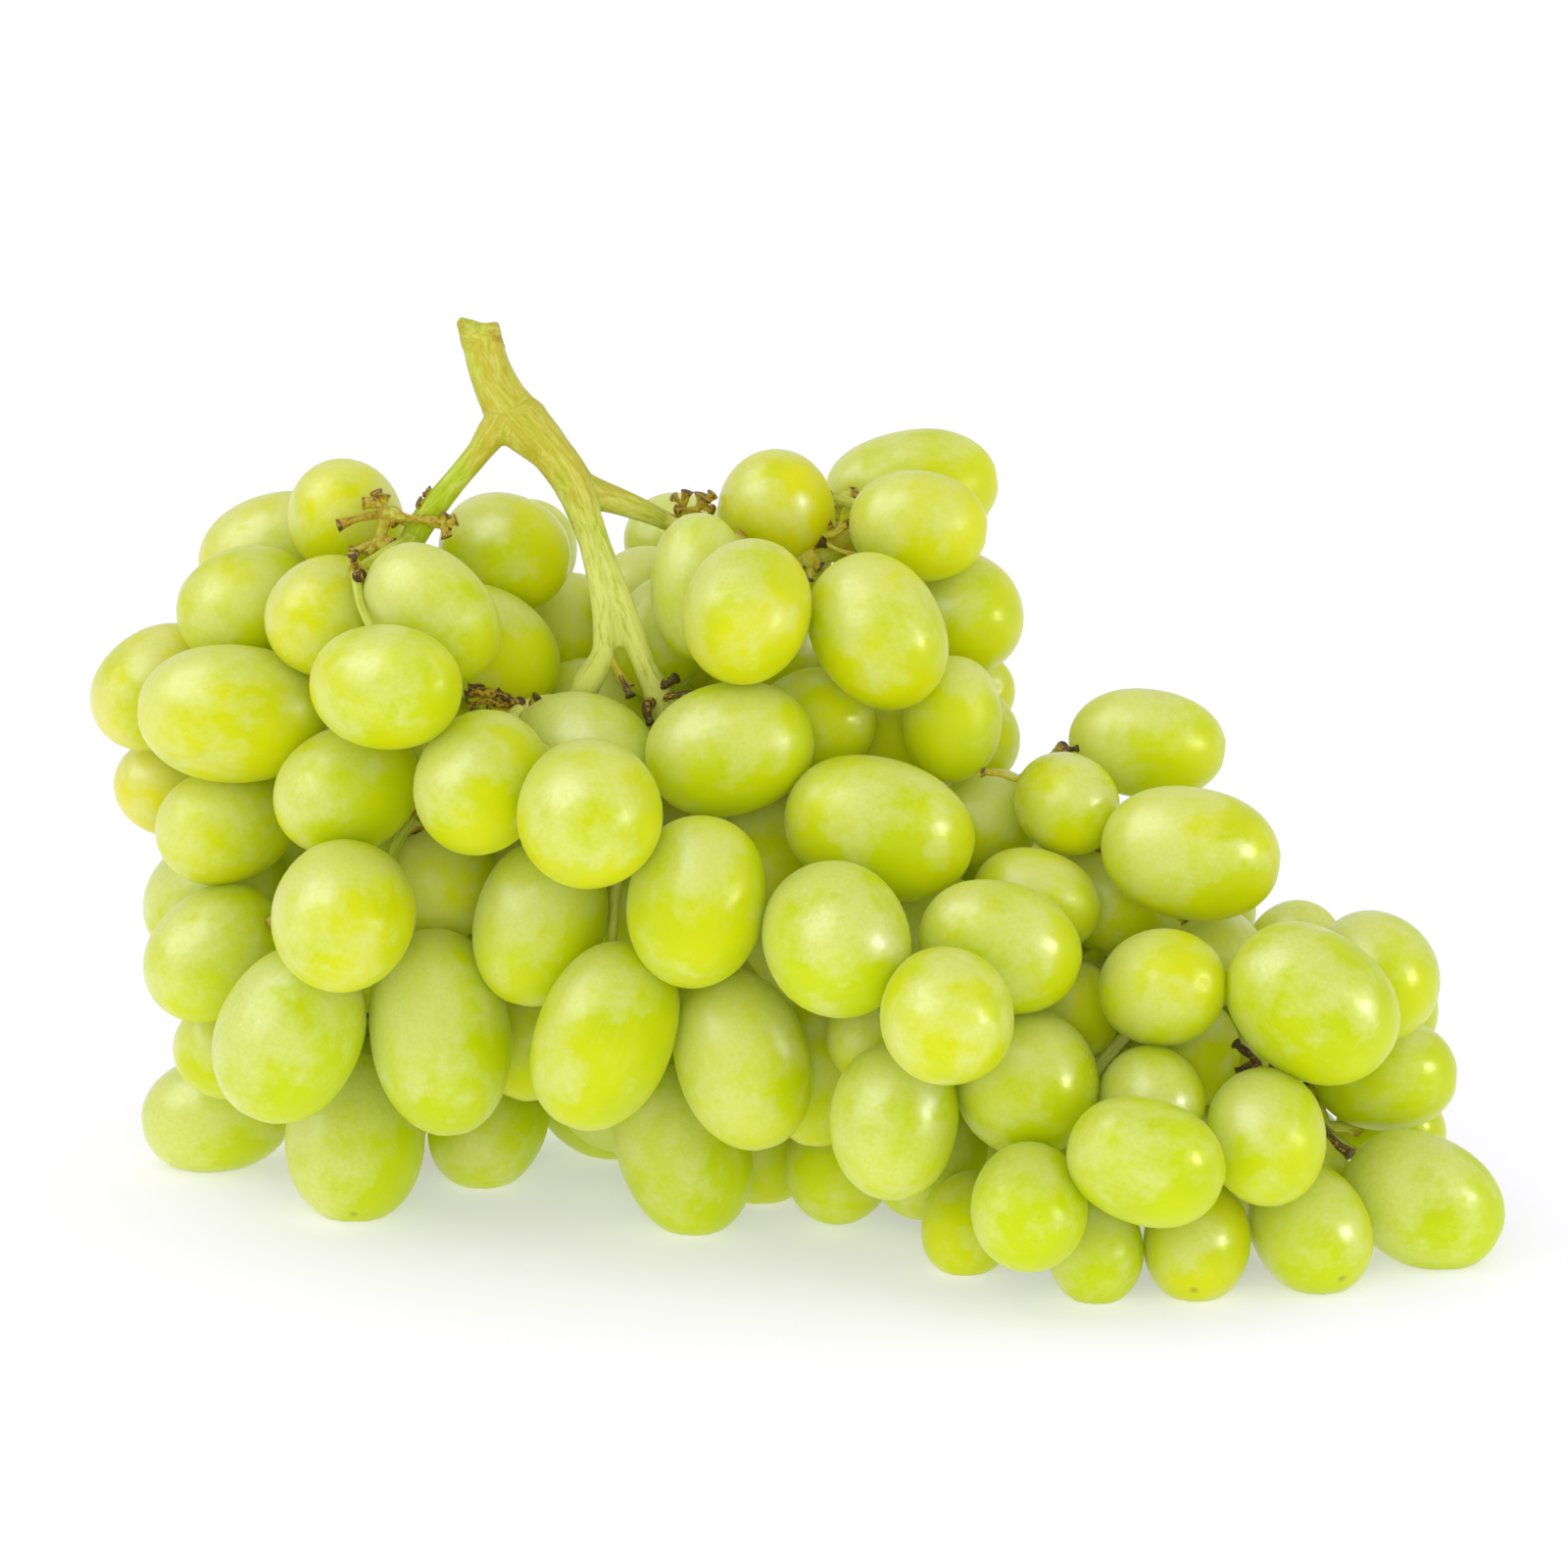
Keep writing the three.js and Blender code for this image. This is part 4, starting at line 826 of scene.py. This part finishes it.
def placed(name, data):
    """A new object in the scene."""
    made = bpy.data.objects.new(name, data)
    bpy.context.scene.collection.objects.link(made)
    return made


def add_piece(name, mesh, material, replaced):
    mesh.materials.append(material)
    piece = placed(name, mesh)
    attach(piece, "root")
    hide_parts(replaced)


def dimple(distance, depth, radius):
    return depth * np.exp(-2 * (distance / radius) ** 2)


def berry_points(place, axis, half, radius, stalk, draw):
    """The skin of one berry, the same on its own axes, and its points' distances from the tip."""
    polar = np.linspace(0, math.pi, BERRY_ALONG + 1)[1:-1]
    round_ = np.arange(BERRY_AROUND) * 2 * math.pi / BERRY_AROUND
    polar, round_ = (grid.ravel() for grid in np.meshgrid(polar, round_, indexing="ij"))
    flat = np.stack([np.sin(polar) * np.cos(round_), np.sin(polar) * np.sin(round_), np.cos(polar)], axis=1)
    flat = np.concatenate([flat, [[0, 0, 1], [0, 0, -1]]])
    along = flat[:, 2]
    full = 1 + BERRY_FULLNESS * (4 * along ** 2 * (1 - along ** 2)) * (1 - STALK_FULLNESS * along)
    local = flat * full[:, None] * [radius + BERRY_SWELL, radius + BERRY_SWELL, half + BERRY_SWELL]
    own_axes = box_frame(axis)
    outward = unit(flat / [radius, radius, half])
    tip_distance = length(local - [0, 0, half])
    stalk_distance = length(local - own_axes @ (stalk - place))
    uneven = waves(local, draw, BERRY_WAVES, BERRY_WAVE_PITCH) * radius * BERRY_UNEVENNESS
    sunk = dimple(tip_distance, *TIP_DIMPLE) + dimple(stalk_distance, *STALK_DIMPLE)
    skin = local + outward * (uneven - sunk)[:, None]
    return place + skin @ own_axes, local, tip_distance


BERRY_FACES = grid_faces(BERRY_ALONG - 1, BERRY_AROUND)


def rested(points):
    """Space points with whatever would be under the surface laid flat on it."""
    points = points.copy()
    points[:, 2] = np.maximum(points[:, 2], 0)
    return points


# ---- Tubes ----

def per_point(values, sides):
    """Values of a tube's stations as values of its points."""
    return np.concatenate([np.repeat(values, sides, axis=0), values[[0, -1]]])


def tube(stations, radii, sides):
    """The skin of a tube through stations, and for each point its angle and its run along the tube."""
    tangents = unit(np.gradient(stations, axis=0))
    side = box_frame(tangents[0])[0]
    runs = np.concatenate([[0], np.cumsum(length(np.diff(stations, axis=0)))])
    angles = np.arange(sides) * 2 * math.pi / sides
    points = []
    for station, tangent, radius in zip(stations, tangents, radii):
        side = unit(side - tangent * (tangent @ side))
        other = np.cross(tangent, side)
        points.append(station + radius * (np.outer(np.cos(angles), side) + np.outer(np.sin(angles), other)))
    points = np.concatenate([*points, stations[[0, -1]]])
    angle = np.concatenate([np.tile(angles, len(stations)), [0, 0]])
    return points, grid_faces(len(stations), sides), angle, per_point(runs, sides)


def shifted_pattern(angle, run):
    """Where the points of a tube lie in the bark's patterns."""
    own = looks.uniform(-PATTERN_SHIFT, PATTERN_SHIFT, 3)
    return np.column_stack([np.cos(angle), np.sin(angle), run]) + own


def spread_out(values, count):
    """Values that are evenly spaced along a limb, read at a count of its stations."""
    return np.interp(np.linspace(0, 1, count), np.linspace(0, 1, len(values)), values)


# ---- Materials ----

def set_sockets(target, values):
    """Sets a node's inputs to values, or links them to other sockets."""
    for name, value in values.items():
        if isinstance(value, bpy.types.NodeSocket):
            target.id_data.links.new(value, target.inputs[name])
        else:
            target.inputs[name].default_value = value


def new_material(name, finish):
    material = bpy.data.materials.new(name)
    material.use_nodes = True
    shader = material.node_tree.nodes["Principled BSDF"]
    set_sockets(shader, finish)
    return material, shader


def new_node(beside, kind, inputs, **settings):
    """The outputs of a new node, in the tree of a node or socket that is there."""
    made = beside.id_data.nodes.new(kind)
    for name, value in settings.items():
        setattr(made, name, value)
    set_sockets(made, inputs)
    return made.outputs


def attribute(beside, name, output="Fac"):
    return new_node(beside, "ShaderNodeAttribute", {}, attribute_name=name)[output]


def remap(value, low, high, to_low=0.0, to_high=1.0):
    return new_node(value, "ShaderNodeMapRange", {"Value": value, "From Min": low, "From Max": high,
                                                  "To Min": to_low, "To Max": to_high})["Result"]


def mixed(factor, first, second):
    sockets = {MIX_FACTOR: factor, MIX_FIRST: first, MIX_SECOND: second}
    return new_node(factor, "ShaderNodeMix", sockets, data_type="RGBA")[MIX_RESULT]


def pattern(vector, scale, detail=3, roughness=0.5, stretch=None, limits=None):
    """A noise on the skin or the bark, drawn out along it by a stretch and cut to its limits."""
    if stretch:
        vector = new_node(vector, "ShaderNodeMapping", {"Vector": vector, "Scale": (1, 1, stretch)})["Vector"]
    sockets = {"Vector": vector, "Scale": scale, "Detail": detail, "Roughness": roughness}
    value = new_node(vector, "ShaderNodeTexNoise", sockets)["Fac"]
    return remap(value, *limits) if limits else value


def times(first, second):
    return new_node(first, "ShaderNodeMath", {0: first, 1: second}, operation="MULTIPLY")[0]


def added(first, second):
    return new_node(first, "ShaderNodeMath", {0: first, 1: second}, operation="ADD")[0]


def bump_of(height, bump):
    return new_node(height, "ShaderNodeBump", {"Height": height, **bump})["Normal"]


def berry_material():
    """Green to yellow flesh under a skin with clouds, flecks and veins of wax, with painted highlight: the
    pale clouds gather on the side towards the lamps.
    """
    material, shader = new_material("berry_skin", SKIN_FINISH)
    skin = attribute(shader, "skin", "Vector")
    colour = mixed(attribute(shader, "tint"), GREEN_SKIN, YELLOW_SKIN)
    colour = mixed(attribute(shader, "amber"), colour, AMBER_SKIN)
    colour = mixed(times(pattern(skin, **DEEP), DEEP_STRENGTH), colour, DEEP_SKIN)
    wax = added(pattern(skin, **CLOUDS), attribute(shader, "wax"))
    bloom_and_highlight = times(remap(wax, *CLOUD_RANGE), remap(pattern(skin, **FLECKS), *BLOOM_AND_HIGHLIGHT_BY_FLECKS))
    colour = mixed(times(bloom_and_highlight, BLOOM_AND_HIGHLIGHT_STRENGTH), colour, BLOOM_AND_HIGHLIGHT)
    colour = mixed(times(pattern(skin, **VEINS), remap(wax, *VEINS_BY_WAX_AND_HIGHLIGHT)), colour, BLOOM_AND_HIGHLIGHT)
    scar = times(remap(attribute(shader, "tip"), *SCAR_RANGE), attribute(shader, "scarred"))
    colour = mixed(times(scar, SCAR_STRENGTH), colour, SCAR_BROWN)
    roughness = added(remap(bloom_and_highlight, *ROUGHNESS_BY_BLOOM_AND_HIGHLIGHT), times(attribute(shader, "dull"), DULLNESS))
    set_sockets(shader, {"Base Color": colour, "Roughness": roughness, "Coat Weight": remap(bloom_and_highlight, 0, 1),
                         "Normal": bump_of(pattern(skin, **PORES), PORE_BUMP)})
    return material


def stem_material():
    """Olive to green bark with pale and shaded streaks, tan where it is dry and dark where it is dead; the
    low strands are painted paler, partly as painted light.
    """
    material, shader = new_material("stem_bark", BARK_FINISH)
    grain = attribute(shader, "grain", "Vector")
    dry = attribute(shader, "dry")
    streaks = pattern(grain, **STREAKS)
    colour = mixed(added(attribute(shader, "young"), pattern(grain, **PATCHES)), OLIVE_STEM, GREEN_STEM)
    pale = added(times(attribute(shader, "pale"), PALENESS_WITH_PAINTED_LIGHT), streaks)
    colour = mixed(remap(pale, *PALE_RANGE), colour, PALE_STEM)
    colour = mixed(remap(streaks, *SHADE_RANGE), colour, SHADE_STEM)
    blotches = pattern(grain, **BLOTCHES)
    woody = added(remap(blotches, *DRYNESS_BY_BLOTCHES), dry)
    woody = added(woody, times(pattern(grain, **SPECKS), dry))
    colour = mixed(remap(woody, *TAN_RANGE), colour, TAN_STEM)
    colour = mixed(remap(woody, *DARK_RANGE), colour, DARK_STEM)
    set_sockets(shader, {"Base Color": colour, "Roughness": remap(blotches, *ROUGHNESS_BY_BLOTCHES),
                         "Normal": bump_of(pattern(grain, **FIBRES), FIBRE_BUMP)})
    return material


# ---- The sprays ----

def berry_look(number, index, up):
    """How scarred, yellow, waxy and amber a berry is, as noted from the photograph or drawn."""
    scarred = looks.uniform() if looks.uniform() < SCARRED_SHARE else 0
    if number < len(FRONT_SPRAYS):
        scarred = float((number, index) in SCARRED_BERRIES)
    yellowness = np.clip(looks.uniform(0, DRAWN_YELLOWNESS) + np.interp(up, *YELLOWER_UP), 0, 1)
    drawn = (yellowness, looks.uniform(-WAX_SPREAD, WAX_SPREAD), 0)
    return scarred, *NOTED_BERRIES.get((number, index), drawn)


def add_berry(skins, body, stalk, number, index):
    place = body.place[0]
    points, local, tip = berry_points(place, body.axis[0], body.half[0], body.radius[0], stalk, looks)
    shift = looks.uniform(-PATTERN_SHIFT, PATTERN_SHIFT, 3)
    scarred, tint, more_wax, amber = berry_look(number, index, place[1])
    # Painted highlight: more pale cloud on the side that faces the key and gloss lamps, plus the berry's own
    # extra wax
    wax = PAINTED_HIGHLIGHT_BIAS * (unit(turned_to_space(points - place)) @ PAINTED_HIGHLIGHT_SIDE) + more_wax
    skins.add(rested(to_space(points)), BERRY_FACES, skin=local + shift, tint=tint, amber=amber, tip=tip,
              scarred=scarred, wax=wax, dull=math.sqrt(polish.uniform()))


def add_pedicel(stalks, stalk, towards, route):
    """A pedicel from its collar in the berry's dimple to the knot."""
    places = [stalk - towards * COLLAR_DEPTH, stalk + towards * COLLAR_HEIGHT, *(stop for stop, _ in route)]
    radii = [COLLAR_RADIUS, COLLAR_RADIUS * COLLAR_TAPER] + [PEDICEL_RADIUS] * (len(route) - 1)
    limb = np.column_stack([places, [*radii, KNOT_PEDICEL_RADIUS]])
    points, faces, angle, run = tube(*limb_stations(limb, PEDICEL_SPACING), PEDICEL_SIDES)
    dry = np.clip(COLLAR_DRYNESS - run * DRYNESS_FALL, PEDICEL_DRYNESS, COLLAR_DRYNESS)
    stalks.add(rested(to_space(points)), faces, grain=shifted_pattern(angle, run), dry=dry,
               young=PEDICEL_YOUTH, pale=PEDICEL_PALENESS)


def dress_spray(number, name):
    skins = Shape(["skin", "tint", "amber", "tip", "scarred", "wax", "dull"])
    stalks = Shape(["grain", "dry", "young", "pale"])
    rows = np.flatnonzero(spray_of == number)
    for index, (row, route) in enumerate(zip(rows, pedicels[number])):
        body = berries.pick([row])
        towards = unit(route[1][0] - body.place[0])
        stalk = body.place[0] + towards * body.reach(towards)[0]
        add_berry(skins, body, stalk, number, index)
        add_pedicel(stalks, stalk, towards, route)
    for part, shape, material, slot in (("berries", skins, skin_material, "berry"),
                                        ("stalks", stalks, bark_material, "stem")):
        title = f"{name}_{part}"
        add_piece(title, laid_mesh(title, *shape.joined()), material, name)


# ---- The twigs ----

def flared(twig):
    """A twig with the small disc at its end that a berry once sat on."""
    twig = np.array(twig, float) * [1, 1, 1, TWIG_THINNING]
    heading = unit(twig[-1, :3] - twig[-2, :3])
    start = [*(twig[-1, :3] - heading * FLARE_LENGTH), twig[-1, 3]]
    return [*twig[:-1].tolist(), start, [*twig[-1, :3], min(twig[-1, 3] * FLARE, WIDEST_FLARE)]]


def add_twig(twigs, twig, dryness):
    stations, radii = limb_stations(flared(twig), TWIG_SPACING)
    points, faces, angle, run = tube(stations, radii, TWIG_SIDES)
    middle = per_point(stations, TWIG_SIDES)
    swell = 1 + TWIG_UNEVENNESS * waves(points, looks, BARK_WAVES, TWIG_PITCH)
    dry = per_point(spread_out(dryness, len(stations)), TWIG_SIDES)
    twigs.add(rested(to_space(middle + (points - middle) * swell[:, None])), faces,
              grain=shifted_pattern(angle, run), dry=dry, young=TWIG_YOUTH, pale=0)


def dress_twigs():
    twigs = Shape(["grain", "dry", "young", "pale"])
    for cluster, dryness in TWIG_DRYNESS:
        for limb in cluster:
            add_twig(twigs, limb, dryness)
    for knot in knots:
        for _ in range(STUBS_PER_KNOT):
            end = knot + unit(looks.normal(size=3)) * looks.uniform(*STUB_LENGTH)
            stub = [[*knot, STUB_ROOT_RADIUS], [*((knot + end) / 2), STUB_RADIUS], [*end, STUB_RADIUS]]
            add_twig(twigs, stub, STUB_DRYNESS)
    add_piece("stem_twigs", laid_mesh("stem_twigs", *twigs.joined()), bark_material, "stem")


# ---- The stem ----

def united(tubes):
    """The points in millimetres, normals and faces of tubes that are made one skin."""
    rough = laid_mesh("tubes", *tubes.joined())
    carrier = placed("tubes", rough)
    remesh = carrier.modifiers.new("united", "REMESH")
    remesh.mode = "VOXEL"
    remesh.voxel_size = VOXEL * MM
    smooth = carrier.modifiers.new("smoothed", "SMOOTH")
    smooth.factor = SMOOTHING
    smooth.iterations = SMOOTHING_ROUNDS
    depsgraph = bpy.context.evaluated_depsgraph_get()
    mesh = bpy.data.meshes.new_from_object(carrier.evaluated_get(depsgraph))
    bpy.data.objects.remove(carrier)
    bpy.data.meshes.remove(rough)
    points, normals = np.empty((2, len(mesh.vertices) * 3))
    mesh.vertices.foreach_get("co", points)
    mesh.vertices.foreach_get("normal", normals)
    faces = [list(face.vertices) for face in mesh.polygons]
    bpy.data.meshes.remove(mesh)
    return points.reshape(-1, 3) / MM, normals.reshape(-1, 3), faces


def add_limb(tubes, tracks, limb, dryness):
    stations, radii = limb_stations(limb, LIMB_SPACING)
    points, faces, _, _ = tube(stations, radii, LIMB_SIDES)
    tubes.add(to_space(points), faces)
    tracks.add(to_space(stations), [], tangent=turned_to_space(unit(np.gradient(stations, axis=0))),
               run=np.arange(len(stations)) * LIMB_SPACING, dry=spread_out(dryness, len(stations)))


def nearest_rows(places, points):
    tree = KDTree(len(places))
    for index, place in enumerate(places):
        tree.insert(place, index)
    tree.balance()
    return np.array([tree.find(point)[1] for point in points])


def groove_depth(drawn, facing):
    """How deep the groove between the two strands is at places on the front of the stem."""
    start, end = np.array(GROOVE)
    way = end - start
    share = np.clip((drawn[:, :2] - start) @ way / (way @ way), 0, 1)
    distance = length(drawn[:, :2] - start - share[:, None] * way)
    return GROOVE_DEPTH * np.exp(-(distance / GROOVE_WIDTH) ** 2) * np.clip(facing[:, 2], 0, 1)


def dress_stem():
    tubes, tracks = Shape([]), Shape(["tangent", "run", "dry"])
    for limb in DRESSED_LIMBS:
        add_limb(tubes, tracks, limb, [0])
    for limb in DRESSED_LIPS:
        add_limb(tubes, tracks, limb, LIP_DRYNESS)
    for route, knot in zip(laterals, knots):
        limb = [[*place, radius] for place, radius in route] + [[*knot, HUB_RADIUS]]
        add_limb(tubes, tracks, limb, LATERAL_DRYNESS)
    points, normals, faces = united(tubes)
    stations, _, tracked = tracks.joined()
    nearest = nearest_rows(stations, points)
    tangent, run, dry = (column[nearest] for column in tracked.values())
    offset = points - stations[nearest]
    along = dot(offset, tangent)
    across = offset - tangent * along[:, None]
    grain = np.column_stack([across[:, 0], across[:, 1] + across[:, 2], run + along])
    ridges = waves(grain * RIDGE_STRETCH, looks, BARK_WAVES, RIDGE_PITCH) * RIDGE_HEIGHT
    warts = waves(points, looks, BARK_WAVES, WART_PITCH) * (WART_HEIGHT * dry)
    drawn = (points + [CENTRE_X, CENTRE_Y, 0]) @ TURN_TO_SPACE
    groove = groove_depth(drawn, normals @ TURN_TO_SPACE)
    points = points + normals * (ridges + warts - groove)[:, None]
    left = np.interp(drawn[:, 0], YOUNG_LEFT_OF, [1, 0])
    # The low strands are painted paler, partly as painted light where they lie in the berries' shade
    pale = np.interp(drawn[:, 1], YOUNG_FROM, [1, 0]) * (1 - left)
    values = {"grain": grain, "dry": dry, "young": np.maximum(pale, left), "pale": pale}
    add_piece("stem_bark", laid_mesh("stem", rested(points), faces, values), bark_material, "stem")


# ---- The bunch ----

looks = np.random.default_rng(LOOKS_SEED)
polish = np.random.default_rng(POLISH_SEED)
berries, spray_of, knots, pedicels, laterals = grown()
skin_material = berry_material()
bark_material = stem_material()

SPRAY_NODES = [f"{side}_spray_{index + 1:02d}"
               for side, sprays in (("front", FRONT_SPRAYS), ("back", HIDDEN_SPRAYS))
               for index in range(len(sprays))]
for number, name in enumerate(SPRAY_NODES):
    dress_spray(number, name)
dress_twigs()
dress_stem()


# ---- Surface, light and camera ----

def add_surface():
    """The pale surface that the bunch lies on."""
    mesh = bpy.data.meshes.new("surface")
    edge = FLOOR_SIZE / 2
    corners = [(-edge, -edge, 0), (edge, -edge, 0), (edge, edge, 0), (-edge, edge, 0)]
    mesh.from_pydata(corners, [], [(0, 1, 2, 3)])
    mesh.materials.append(new_material("white_surface", FLOOR_FINISH)[0])
    floor = placed("surface", mesh)


def add_world():
    world = bpy.data.worlds.new("studio")
    bpy.context.scene.world = world
    world.use_nodes = True
    set_sockets(world.node_tree.nodes["Background"], WORLD_LIGHT)


def add_lamp(name, towards, distance, size, power, aside=(0, 0, 0), spread=math.pi, diffuse=True,
             glossy=True):
    """A round lamp in a direction from the bunch, aimed at the target or a little aside of it."""
    lamp = bpy.data.lights.new(name, "AREA")
    lamp.shape = "DISK"
    lamp.size = size
    lamp.energy = power
    lamp.spread = spread
    holder = placed(name, lamp)
    heading = Vector(towards).normalized()
    holder.location = TARGET + Vector(aside) + heading * distance
    holder.rotation_euler = heading.to_track_quat("Z", "Y").to_euler()
    holder.visible_diffuse = diffuse
    holder.visible_glossy = glossy


def add_camera():
    """A long lens at the photograph's viewing angle."""
    lens = bpy.data.cameras.new("camera")
    lens.sensor_width = SENSOR_MM
    lens.lens = SENSOR_MM * CAMERA_DISTANCE / VIEW_WIDTH
    camera = placed("camera", lens)
    camera.location = TARGET + Vector((0, -COS_LEAN, SIN_LEAN)) * CAMERA_DISTANCE
    camera.rotation_euler = (math.pi / 2 - LEAN, 0, 0)
    bpy.context.scene.camera = camera


add_surface()
add_world()
for name, lamp in LAMPS.items():
    add_lamp(name, **lamp)
add_camera()
bpy.context.scene.view_settings.view_transform = "Standard"
bpy.context.scene.view_settings.gamma = GAMMA
bpy.context.scene.view_settings.exposure = EXPOSURE
